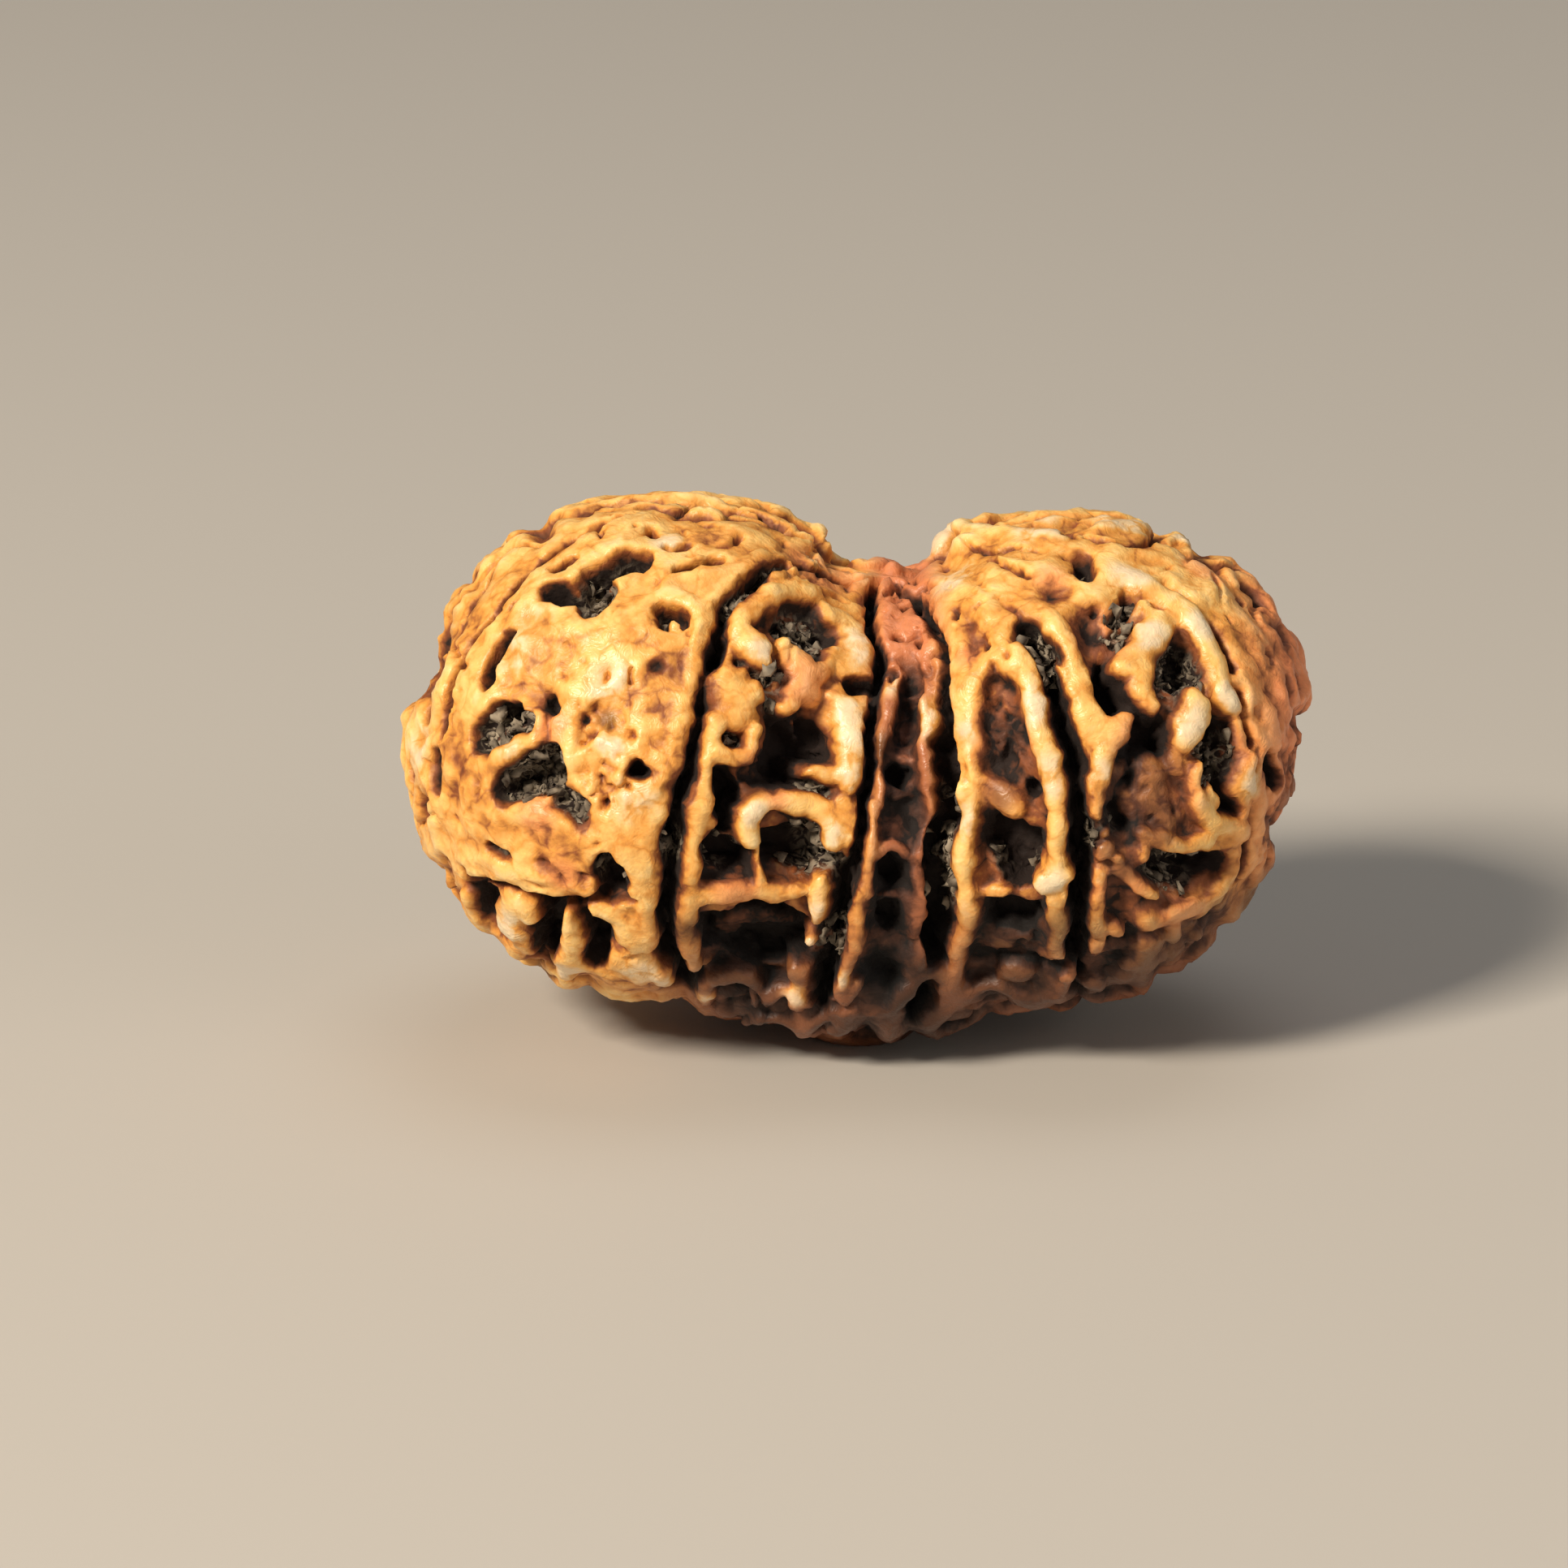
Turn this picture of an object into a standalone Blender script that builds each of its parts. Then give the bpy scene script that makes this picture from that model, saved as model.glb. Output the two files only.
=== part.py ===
"""Gauri shankar rudraksha: two rudraksha seeds that grew joined side by side, as one stone.

The outer form is a few ellipsoids run together. Grooves and pits are then sunk into it, and ribs
and knobs left standing between them, along the form's own normals. Lengths are millimetres,
with X along the pair, Y away from the front and Z up, until the mesh is written in metres.
"""

import math
import random

import bmesh
import bpy
import numpy as np

MM = 0.001

# The pair is 30 mm across, 18 mm front to back and 18 mm tall.
# Each swelling of the outer form is a centre, three radii and a squareness, which is 2 for an
# ellipsoid and more for a boxier swelling.
LEFT_SEED = ((-6.85, 0.0, 9.6), (8.1, 8.75, 8.3), 2.0)
LEFT_SHOULDER = ((-4.2, 0.0, 9.75), (4.5, 7.6, 7.6), 2.5)
RIGHT_SEED = ((6.9, 0.0, 9.2), (7.2, 8.6, 8.1), 2.0)
RIGHT_CHEEK = ((9.3, 0.0, 10.85), (5.45, 7.2, 5.6), 2.0)
RIGHT_SHOULDER = ((5.2, 0.0, 9.2), (3.5, 7.5, 7.3), 2.8)
WAIST = ((0.2, 0.0, 7.7), (5.6, 8.0, 7.6), 2.0)
UNDERSIDE = ((-0.2, -0.3, 4.75), (5.9, 5.3, 4.4), 3.0)
SWELLINGS = (LEFT_SEED, LEFT_SHOULDER, RIGHT_SEED, RIGHT_CHEEK, RIGHT_SHOULDER, WAIST, UNDERSIDE)
RUN_TOGETHER = 0.5
HEART = (0.0, 0.0, 8.0)
REACH = 20.0
HALVINGS = 34
NUDGE = 0.01

# The front features are placed by how far right of the middle and how far above the ground
# they look from the front, a little above level.
FRONT_DISTANCE = 250.0
FRONT_ELEVATION = math.radians(18.0)
FRONT_AIM = (-2.43, 7.94)
FRONT_SAMPLES = 800

# The grooves meet at the top and bottom of this upright line, where both seeds have their poles.
POLE_X = 0.8

SPHERE_SUBDIVISIONS = 7
STROKE_STEP = 0.7
FINAL_TRIANGLES = 8600
FLAT_CUT = 0.16
FLAT_RADIUS = 3.0
FLAT_MIDDLE = (0.0, -0.4)
SEED = 41

# Each front groove: half width, depth, then its course from the top of the seed down.
FRONT_GROOVES = {
    "left_plate_edge": (0.42, 1.9, (
        (-2.0, 15.5), (-3.1, 15.0), (-3.9, 14.2), (-4.5, 13.3), (-4.7, 12.3), (-5.2, 10.6),
        (-5.4, 8.9), (-5.9, 7.5), (-6.15, 6.0), (-6.2, 4.0), (-6.25, 2.4), (-5.9, 1.2))),
    "waist_left": (0.26, 1.5, (
        (0.5, 14.7), (0.5, 13.3), (0.75, 12.0), (0.65, 10.2), (0.4, 8.4), (0.1, 6.6),
        (-0.2, 5.0), (-0.7, 3.5), (-0.9, 2.0), (-1.3, 0.5))),
    "waist_right": (0.36, 1.6, (
        (2.0, 13.9), (2.5, 12.8), (2.8, 11.5), (3.0, 9.6), (2.9, 8.0), (2.8, 6.4),
        (2.9, 4.6), (2.85, 3.0), (2.75, 0.8))),
    "right_plate_edge": (0.42, 1.8, (
        (3.4, 14.9), (4.6, 14.0), (5.6, 13.0), (6.2, 12.1), (6.5, 11.0), (6.8, 9.7),
        (7.2, 8.4), (7.25, 6.9), (7.4, 5.3), (7.4, 3.6), (7.2, 2.3))),
    "right_end": (0.2, 1.0, (
        (10.2, 14.7), (11.1, 14.0), (12.0, 13.0), (12.6, 11.7), (13.0, 10.2), (13.35, 8.6),
        (13.25, 7.0), (12.95, 5.6), (12.4, 4.1), (11.5, 3.1))),
    "left_end": (0.14, 0.5, (
        (-7.5, 17.0), (-9.9, 16.0), (-11.5, 14.6), (-12.4, 13.2), (-13.2, 12.1), (-13.6, 10.2),
        (-13.8, 8.4), (-13.7, 7.2))),
}

# Each front pit: half width, depth, then the line that its middle follows.
FRONT_PITS = {
    "plate_top": (0.45, 1.2, ((-9.7, 14.2), (-8.7, 14.8), (-7.3, 15.2))),
    "plate_ring_hole": (0.45, 0.9, ((-6.1, 13.4),)),
    "plate_small_hole": (0.28, 0.8, ((-6.5, 11.85),)),
    "plate_left_hollow": (0.55, 0.9, ((-12.4, 9.6), (-11.6, 10.2))),
    "plate_upper_core": (0.35, 1.2, ((-10.2, 10.5),)),
    "plate_cave": (0.7, 1.9, ((-11.6, 7.9), (-10.6, 8.4))),
    "plate_cave_foot": (0.45, 0.6, ((-9.7, 7.2),)),
    "plate_eye": (0.35, 1.0, ((-7.1, 8.45),)),
    "plate_dimple": (0.3, 0.7, ((-12.1, 5.6), (-11.6, 5.3))),
    "plate_shelf": (0.35, 1.1, ((-12.6, 4.6), (-11.0, 4.2), (-9.6, 3.8), (-8.4, 3.9))),
    "plate_lower_eye": (0.5, 1.4, ((-8.4, 5.1), (-8.0, 4.4))),
    "between_roots_left": (0.45, 1.5, ((-10.5, 3.3), (-10.5, 2.4))),
    "between_roots_right": (0.5, 1.6, ((-8.6, 2.8), (-8.6, 1.9))),
    "hook_inside": (0.45, 1.3, ((-2.2, 13.4), (-1.5, 13.3), (-0.8, 13.0))),
    "hook_gap": (0.3, 1.2, ((-2.35, 12.4), (-2.4, 11.7), (-3.5, 11.6))),
    "second_side_nick": (0.3, 0.8, ((-0.1, 11.35), (0.4, 11.4))),
    "second_cave": (0.8, 1.9, ((-1.9, 9.4), (-2.3, 8.6))),
    "second_knee": (0.5, 1.7, ((-4.1, 7.9), (-4.1, 6.8))),
    "second_left_well": (0.6, 1.7, ((-4.5, 5.6), (-3.9, 5.4))),
    "second_right_well": (0.65, 1.7, ((-2.3, 6.0), (-2.2, 5.4))),
    "second_great_hollow": (0.85, 1.9, ((-4.3, 2.8), (-2.6, 2.6))),
    "waist_upper": (0.4, 1.0, ((1.55, 10.9), (1.5, 10.0))),
    "waist_hole": (0.42, 1.1, ((1.5, 8.3),)),
    "waist_arch": (0.45, 1.3, ((1.2, 5.0), (1.2, 4.8))),
    "waist_lower": (0.5, 1.2, ((1.2, 3.5), (1.3, 2.8))),
    "fourth_oval": (0.6, 1.2, ((4.6, 10.6), (4.8, 9.6), (4.85, 8.6))),
    "fourth_nick": (0.32, 1.0, ((5.65, 7.7),)),
    "fourth_cave": (0.95, 2.0, ((5.0, 5.9), (5.0, 5.1))),
    "fourth_lower": (0.7, 1.7, ((4.9, 3.3), (5.2, 3.2))),
    "fork_window": (0.42, 1.7, ((8.2, 11.4), (8.4, 10.9))),
    "fork_top": (0.3, 1.0, ((8.9, 14.1), (8.8, 13.4), (8.5, 13.0))),
    "crown_pit": (0.3, 0.8, ((7.45, 15.4), (7.45, 14.9))),
    "crown_dish": (0.35, 0.6, ((6.5, 14.45),)),
    "round_well": (0.9, 1.7, ((10.55, 11.9),)),
    "under_fork": (0.6, 1.6, ((9.5, 9.7), (9.7, 9.5))),
    "beside_pear": (0.45, 1.6, ((12.1, 9.6), (12.0, 8.3))),
    "crescent": (0.28, 1.2, ((11.4, 7.6), (11.6, 7.0), (12.1, 6.7))),
    "fifth_low_eye": (0.45, 1.4, ((8.7, 6.8),)),
    "smile": (0.65, 1.8, ((10.2, 4.9), (11.0, 4.7), (11.6, 5.0))),
    "end_hole": (0.22, 0.7, ((12.6, 14.1), (12.7, 13.8))),
}

# The hidden side repeats the kind: grooves at these angles round the upright line, in degrees
# from +X towards the back, with pits strung between them.
BACK_GROOVES = (12.0, 40.0, 68.0, 96.0, 126.0, 152.0, 178.0)
BACK_GROOVE_HALF_WIDTH = 0.36
BACK_GROOVE_DEPTH = 1.5
BACK_GROOVE_SWAY = math.radians(3.5)
BACK_GROOVE_RISES = (74.0, -66.0)
BACK_GROOVE_POINTS = 24
SWAY_TURNS = 2.3
SWAY_STARTS = (0.0, 6.0)
FORM_RADIUS = 9.0
BACK_PIT_SPACING = 2.3
BACK_PIT_DEPTH = 1.3
BACK_PIT_DEPTH_SHARES = (0.6, 1.2)
BACK_PIT_HALF_WIDTHS = (0.25, 0.6)
BACK_PIT_HALF_LENGTHS = (0.2, 0.9)
BACK_PIT_LEANS = (-0.5, 0.5)
HIDDEN_FACING = -0.1
WALL = 0.3
TOP_AND_TAIL = (1.4, 14.6)

STONE_COLOUR = (0.42, 0.24, 0.11, 1.0)
STONE_ROUGHNESS = 0.42


def outside(points):
    """How far points stand outside the run-together swellings, in millimetres; inside is negative."""
    total = np.zeros(len(points))
    for centre, radii, squareness in SWELLINGS:
        offset = points - np.array(centre)
        level = (np.abs(offset / radii) ** squareness).sum(axis=1) ** (1.0 / squareness)
        distance = np.linalg.norm(offset, axis=1)
        gap = distance - distance / np.maximum(level, 1e-9)
        total += np.exp(-np.clip(gap, -10.0, 40.0) / RUN_TOGETHER)
    return -RUN_TOGETHER * np.log(total)


def normals_at(points):
    """The outer form's unit normals."""
    slopes = [outside(points + NUDGE * axis) - outside(points - NUDGE * axis) for axis in np.eye(3)]
    normals = np.stack(slopes, axis=1)
    return normals / np.linalg.norm(normals, axis=1, keepdims=True)


def cast_from_heart(directions):
    """Points where rays from the heart meet the outer form."""
    near = np.zeros(len(directions))
    far = np.full(len(directions), REACH)
    for _ in range(HALVINGS):
        middle = 0.5 * (near + far)
        inside = outside(HEART + directions * middle[:, None]) < 0.0
        near = np.where(inside, middle, near)
        far = np.where(inside, far, middle)
    return HEART + directions * near[:, None]


def cast_from_front(across, above):
    """The point of the outer form that looks this far across and above from the front."""
    sine, cosine = math.sin(FRONT_ELEVATION), math.cos(FRONT_ELEVATION)
    right = np.array((1.0, 0.0, 0.0))
    up = np.array((0.0, sine, cosine))
    towards = np.array((0.0, -cosine, sine))
    aim = FRONT_AIM[0] * right + FRONT_AIM[1] * up
    eye = aim + FRONT_DISTANCE * towards
    ray = across * right + above * up - eye
    ray /= np.linalg.norm(ray)
    travel = np.linspace(FRONT_DISTANCE - REACH, FRONT_DISTANCE + REACH, FRONT_SAMPLES)
    gaps = outside(eye + travel[:, None] * ray)
    hits = np.flatnonzero(gaps < 0.0)
    if len(hits) == 0:
        nearest = eye + travel[np.argmin(gaps)] * ray
        return cast_from_heart((nearest - HEART)[None] / np.linalg.norm(nearest - HEART))[0]
    return eye + travel[hits[0]] * ray


def smooth_course(points, step):
    """Points every step or so along a rounded curve through the given ones."""
    points = [np.array(p, dtype=float) for p in points]
    if len(points) == 1:
        return points
    ends = [2 * points[0] - points[1]] + points + [2 * points[-1] - points[-2]]
    course = []
    for before, start, end, after in zip(ends, ends[1:], ends[2:], ends[3:]):
        count = max(1, round(float(np.linalg.norm(end - start)) / step))
        for t in np.arange(count) / count:
            bend = (2 * start + (end - before) * t
                    + (2 * before - 5 * start + 4 * end - after) * t ** 2
                    + (3 * start - before - 3 * end + after) * t ** 3)
            course.append(0.5 * bend)
    return course + [points[-1]]


def front_course(points):
    """A front-view line laid on the outer form."""
    return np.array([cast_from_front(*p) for p in smooth_course(points, STROKE_STEP)])


def meridian_direction(angle, rise):
    """A direction from the heart, at an angle round the upright line and a rise above level."""
    return np.array((math.cos(angle) * math.cos(rise), math.sin(angle) * math.cos(rise), math.sin(rise)))


def groove_course(angle, phase):
    """A groove from pole to pole round the back, swaying a little."""
    rises = np.radians(np.linspace(*BACK_GROOVE_RISES, BACK_GROOVE_POINTS))
    turns = angle + BACK_GROOVE_SWAY * np.sin(SWAY_TURNS * rises + phase)
    directions = np.array([meridian_direction(t, r) for t, r in zip(turns, rises)])
    start = np.array((POLE_X - HEART[0], 0.0, 0.0))
    pulled = directions * FORM_RADIUS + start * np.cos(rises)[:, None]
    return cast_from_heart(pulled / np.linalg.norm(pulled, axis=1, keepdims=True))


def gap_to_course(points, course):
    """Distance from points to a course of straight pieces."""
    if len(course) == 1:
        return np.linalg.norm(points - course[0], axis=1)
    nearest = np.full(len(points), np.inf)
    for start, end in zip(course[:-1], course[1:]):
        run = end - start
        share = np.clip((points - start) @ run / max(run @ run, 1e-12), 0.0, 1.0)
        nearest = np.minimum(nearest, np.linalg.norm(points - start - share[:, None] * run, axis=1))
    return nearest


def sink(heights, points, course, half_width, depth):
    """Sinks a channel or pit with steep walls and rounded rims along a course."""
    reach = half_width + WALL
    low, high = course.min(axis=0) - reach, course.max(axis=0) + reach
    close = np.flatnonzero(np.all((points > low) & (points < high), axis=1))
    if len(close) == 0:
        return
    inward = np.clip((reach - gap_to_course(points[close], course)) / (2.0 * WALL), 0.0, 1.0)
    floor = -depth * inward * inward * (3.0 - 2.0 * inward)
    heights[close] = np.minimum(heights[close], floor)


def back_pits(points, normals, draw):
    """Pit middles spread evenly over what the front doesn't show."""
    hidden = np.flatnonzero((normals[:, 1] > HIDDEN_FACING) & (points[:, 2] > TOP_AND_TAIL[0])
                            & (points[:, 2] < TOP_AND_TAIL[1]))
    order = list(hidden)
    draw.shuffle(order)
    chosen = []
    for index in order:
        place = points[index]
        if all(np.linalg.norm(place - other) > BACK_PIT_SPACING for other in chosen):
            chosen.append(place)
    return chosen


def relief(points, normals):
    """Height of the finished surface above the outer form, mostly below it."""
    heights = np.zeros(len(points))
    for half_width, depth, course in FRONT_PITS.values():
        sink(heights, points, front_course(course), half_width, depth)
    draw = random.Random(SEED)
    for place in back_pits(points, normals, draw):
        lean = draw.uniform(*BACK_PIT_LEANS)
        half_length = draw.uniform(*BACK_PIT_HALF_LENGTHS)
        along = np.array((lean, 0.0, 1.0)) * half_length
        course = np.array((place - along, place + along))
        half_width = draw.uniform(*BACK_PIT_HALF_WIDTHS)
        sink(heights, points, course, half_width, BACK_PIT_DEPTH * draw.uniform(*BACK_PIT_DEPTH_SHARES))
    for angle in BACK_GROOVES:
        course = groove_course(math.radians(angle), draw.uniform(*SWAY_STARTS))
        sink(heights, points, course, BACK_GROOVE_HALF_WIDTH, BACK_GROOVE_DEPTH)
    for half_width, depth, course in FRONT_GROOVES.values():
        sink(heights, points, front_course(course), half_width, depth)
    return heights


def keep_footing(points, heights):
    """Fades the relief out round the small spot that the seed stands on."""
    spread = np.linalg.norm(points[:, :2] - np.array(FLAT_MIDDLE), axis=1)
    fade = np.clip((spread - FLAT_RADIUS) / FLAT_RADIUS, 0.0, 1.0)
    low = points[:, 2] < HEART[2]
    return np.where(low, heights * fade, heights)


def sphere_points(mesh):
    """A mesh's vertex places as an array."""
    places = np.empty(3 * len(mesh.vertices))
    mesh.vertices.foreach_get("co", places)
    return places.reshape(-1, 3)


def stone_material():
    """Hard woody stone, brown with a dull wax shine."""
    material = bpy.data.materials.new("rudraksha_stone")
    material.use_nodes = True
    shader = material.node_tree.nodes["Principled BSDF"]
    shader.inputs["Base Color"].default_value = STONE_COLOUR
    shader.inputs["Roughness"].default_value = STONE_ROUGHNESS
    shader.inputs["Metallic"].default_value = 0.0
    return material


def thin_out(seed, triangles):
    """Thins the seed's mesh to about this many triangles, keeping edges where it bends."""
    thinner = seed.modifiers.new("thin", "DECIMATE")
    thinner.ratio = triangles / len(seed.data.polygons)
    bpy.context.view_layer.update()
    evaluated = seed.evaluated_get(bpy.context.evaluated_depsgraph_get())
    mesh = bpy.data.meshes.new_from_object(evaluated)
    seed.modifiers.remove(thinner)
    seed.data = mesh


def cut_footing(mesh):
    """Cuts the underside flat, so that the seed stands on the ground at Z = 0."""
    shape = bmesh.new()
    shape.from_mesh(mesh)
    lowest = min(v.co.z for v in shape.verts)
    level = lowest + FLAT_CUT * MM
    everything = shape.verts[:] + shape.edges[:] + shape.faces[:]
    bmesh.ops.bisect_plane(shape, geom=everything, plane_co=(0.0, 0.0, level), plane_no=(0.0, 0.0, 1.0),
                           clear_inner=True)
    rim = [e for e in shape.edges if e.is_boundary]
    bmesh.ops.holes_fill(shape, edges=rim)
    bmesh.ops.translate(shape, vec=(0.0, 0.0, -level), verts=shape.verts)
    bmesh.ops.triangulate(shape, faces=[f for f in shape.faces if len(f.verts) > 3])
    bmesh.ops.recalc_face_normals(shape, faces=shape.faces)
    shape.to_mesh(mesh)
    shape.free()


def centre_on_origin(mesh):
    """Puts the middle of the footprint on the origin."""
    places = sphere_points(mesh)
    middle = 0.5 * (places.min(axis=0) + places.max(axis=0))
    places[:, :2] -= middle[:2]
    mesh.vertices.foreach_set("co", places.ravel())
    mesh.update()


def conjoined_seed(collection):
    """The joined pair of seeds, as one closed solid."""
    bpy.ops.mesh.primitive_ico_sphere_add(subdivisions=SPHERE_SUBDIVISIONS, radius=1.0)
    seed = bpy.context.object
    seed.name = "conjoined_seed"
    seed.data.name = "conjoined_seed"
    directions = sphere_points(seed.data)
    directions /= np.linalg.norm(directions, axis=1, keepdims=True)
    points = cast_from_heart(directions)
    normals = normals_at(points)
    heights = keep_footing(points, relief(points, normals))
    places = (points + normals * heights[:, None]) * MM
    seed.data.vertices.foreach_set("co", places.ravel())
    seed.data.update()
    thin_out(seed, FINAL_TRIANGLES)
    cut_footing(seed.data)
    centre_on_origin(seed.data)
    seed.data.materials.clear()
    seed.data.materials.append(stone_material())
    seed.data.shade_smooth()
    for owner in list(seed.users_collection):
        owner.objects.unlink(seed)
    collection.objects.link(seed)


def main():
    for thing in list(bpy.data.objects):
        bpy.data.objects.remove(thing, do_unlink=True)
    collection = bpy.data.collections.new("gauri_shankar_rudraksha")
    bpy.context.scene.collection.children.link(collection)
    conjoined_seed(collection)


main()
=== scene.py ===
"""Looks of a gauri shankar rudraksha: two rudraksha seeds grown joined side by side, as one stone.

The stone starts as the same run-together swellings as the frame's solid. Hollows, pits and grooves
are sunk into it, ribs and knobs raised on it and creases scored in it, each one a stroke laid on the
form. The front's strokes are listed one by one, and the hidden sides repeat their kind by rule.
Lengths are millimetres, with X along the pair, Y away from the front and Z up, until a mesh is
written in metres.
"""

import math
import random

import bpy
import numpy as np
from bpy.props import FloatProperty, FloatVectorProperty, IntProperty, PointerProperty
from mathutils import Matrix, Vector, noise


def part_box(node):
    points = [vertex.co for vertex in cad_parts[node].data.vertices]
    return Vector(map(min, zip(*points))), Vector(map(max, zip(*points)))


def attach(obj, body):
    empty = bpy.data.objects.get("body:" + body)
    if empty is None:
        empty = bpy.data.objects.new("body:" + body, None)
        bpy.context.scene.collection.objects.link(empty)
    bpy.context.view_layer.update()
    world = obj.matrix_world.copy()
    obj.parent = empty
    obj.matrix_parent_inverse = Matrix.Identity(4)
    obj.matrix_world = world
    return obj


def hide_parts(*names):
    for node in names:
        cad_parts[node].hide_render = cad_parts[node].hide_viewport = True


bl_info = {
    "name": "Gauri Shankar Rudraksha",
    "version": (1, 0, 0),
    "blender": (4, 5, 0),
    "location": "View3D > Sidebar > Rudraksha",
    "description": "Carves a conjoined rudraksha seed with its grooves, ribs, pits and dried pulp",
    "category": "Object",
}

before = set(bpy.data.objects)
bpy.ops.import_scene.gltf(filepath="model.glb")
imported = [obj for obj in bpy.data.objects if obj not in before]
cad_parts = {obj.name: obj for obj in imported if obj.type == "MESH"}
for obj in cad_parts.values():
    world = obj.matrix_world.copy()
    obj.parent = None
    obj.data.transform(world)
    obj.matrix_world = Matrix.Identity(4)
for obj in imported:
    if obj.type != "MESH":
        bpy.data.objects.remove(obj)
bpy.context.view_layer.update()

MM = 0.001

# Each swelling of the outer form is a centre, three radii and a squareness, which is 2 for an
# ellipsoid and more for a boxier swelling.
LEFT_SEED = ((-6.85, 0.0, 9.6), (8.1, 8.75, 8.3), 2.0)
LEFT_SHOULDER = ((-4.2, 0.0, 9.75), (4.5, 7.6, 7.6), 2.5)
RIGHT_SEED = ((6.9, 0.0, 9.2), (7.2, 8.6, 8.1), 2.0)
RIGHT_CHEEK = ((9.3, 0.0, 10.85), (5.45, 7.2, 5.6), 2.0)
RIGHT_SHOULDER = ((5.2, 0.0, 9.2), (3.5, 7.5, 7.3), 2.8)
WAIST = ((0.2, 0.0, 7.7), (5.6, 8.0, 7.6), 2.0)
UNDERSIDE = ((-0.2, -0.3, 4.75), (5.9, 5.3, 4.4), 3.0)
SWELLINGS = (LEFT_SEED, LEFT_SHOULDER, RIGHT_SEED, RIGHT_CHEEK, RIGHT_SHOULDER, WAIST, UNDERSIDE)
RUN_TOGETHER = 0.5
HEART = np.array((0.0, 0.0, 8.0))
REACH = 20.0
FIRST_REACH = 11.0
NUDGE = 0.01

# Places and depths are rounded to these digits of a millimetre, so that every run gives the same shape.
COURSE_DIGITS = 6
PLACE_DIGITS = 5

# The front strokes are placed by how far right of the middle and how far above the ground they
# look to an eye at this distance and elevation.
EYE_DISTANCE = 250.0
EYE_ELEVATION = math.radians(18.0)
EYE_AIM = (-2.43, 7.94)
RIGHT = np.array((1.0, 0.0, 0.0))
UP = np.array((0.0, math.sin(EYE_ELEVATION), math.cos(EYE_ELEVATION)))
TOWARDS_EYE = np.array((0.0, -math.cos(EYE_ELEVATION), math.sin(EYE_ELEVATION)))
LENS = 174.2
SENSOR = 36.0

# The grooves of both seeds meet at the top and bottom of this upright line.
TOP_POLE = np.array((0.8, 0.3, 15.3))
BOTTOM_POLE = np.array((0.8, -0.2, 0.2))

# Soft hollows: half width, depth and course.
FRONT_HOLLOWS = {
    "above_left_hollow": (0.45, 0.3, ((-11.5, 11.0), (-10.5, 11.0))),
    "below_cave": (0.4, 0.6, ((-9.8, 7.3), (-9.4, 7.0))),
    "plate_middle": ((0.7, 0.6), 0.2, ((-8.4, 10.2), (-8.3, 8.0))),
    "second_bed": ((1.6, 2.0, 2.2, 2.3, 2.2, 2.1), 0.62, (
        (-1.9, 13.4), (-2.2, 11.5), (-2.4, 9.5), (-2.8, 7.5), (-3.1, 5.5), (-3.4, 3.0), (-3.4, 1.9))),
    "second_right_bed": (0.5, 0.9, ((-0.95, 5.3), (-1.05, 4.2), (-1.15, 2.4), (-1.2, 1.4))),
    "waist_bed": ((0.5, 0.85, 0.95, 0.95, 0.9), 0.8, (
        (1.6, 11.6), (1.6, 9.5), (1.6, 8.0), (1.5, 6.6), (1.25, 5.0), (1.1, 3.0), (1.0, 1.6))),
    "fourth_bed": ((0.8, 1.15, 1.4, 1.4, 1.3), 0.6, (
        (4.6, 10.8), (4.9, 9.0), (5.0, 7.0), (5.0, 5.0), (5.0, 3.0), (5.0, 1.8))),
    "right_bed": ((1.3, 2.2, 2.3, 1.9, 1.7), 0.5, (
        (9.2, 13.0), (10.0, 12.0), (10.6, 10.4), (10.9, 8.6), (10.8, 6.4))),
    "beside_fourth_rim": (0.25, 0.4, ((6.2, 11.4), (6.3, 10.6))),
    "fork_inner_bed": ((0.35, 0.5, 0.45), 0.6, ((7.6, 13.7), (7.75, 12.9), (7.95, 12.0))),
    "fifth_bed": ((0.5, 0.7, 0.7, 0.8), 0.5, ((8.2, 8.8), (8.3, 7.0), (8.6, 5.0), (8.6, 3.0))),
    "beside_pear_bed": (0.6, 0.4, ((12.0, 9.9), (12.0, 8.0))),
    "smile_bed": ((0.7, 1.0, 0.9), 0.5, ((9.8, 4.7), (10.9, 4.4), (11.8, 4.8))),
    "right_plate_bed": (1.1, 0.45, ((9.9, 8.2), (10.0, 6.8))),
    "roots_bed": ((0.8, 1.0, 1.05, 0.9), 1.0, ((-12.6, 3.75), (-11.3, 3.35), (-9.6, 3.0), (-8.2, 2.9))),
    "low_left_bed": (0.9, 0.5, ((-5.2, 1.0), (-3.4, 0.7), (-1.6, 0.6))),
    "low_middle_bed": (0.7, 0.5, ((0.2, 0.9), (2.0, 1.1))),
    "low_right_bed": (0.9, 0.55, ((4.2, 1.2), (6.2, 1.2), (8.2, 1.6))),
    "chin_bed": (0.8, 0.5, ((8.3, 2.4), (9.8, 2.4), (11.4, 2.9))),
    "fourth_upper_dent": (0.24, 0.35, ((3.25, 13.3), (3.5, 13.3))),
    "fourth_middle_dent": (0.32, 0.35, ((3.6, 12.3),)),
    "fourth_right_dent": (0.24, 0.3, ((3.85, 12.85),)),
    "crown_dish": (0.36, 0.4, ((6.45, 14.4), (6.65, 14.45))),
    "under_shelf": (0.5, 0.45, ((-6.9, 0.6), (-5.4, 0.2))),
}

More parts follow.
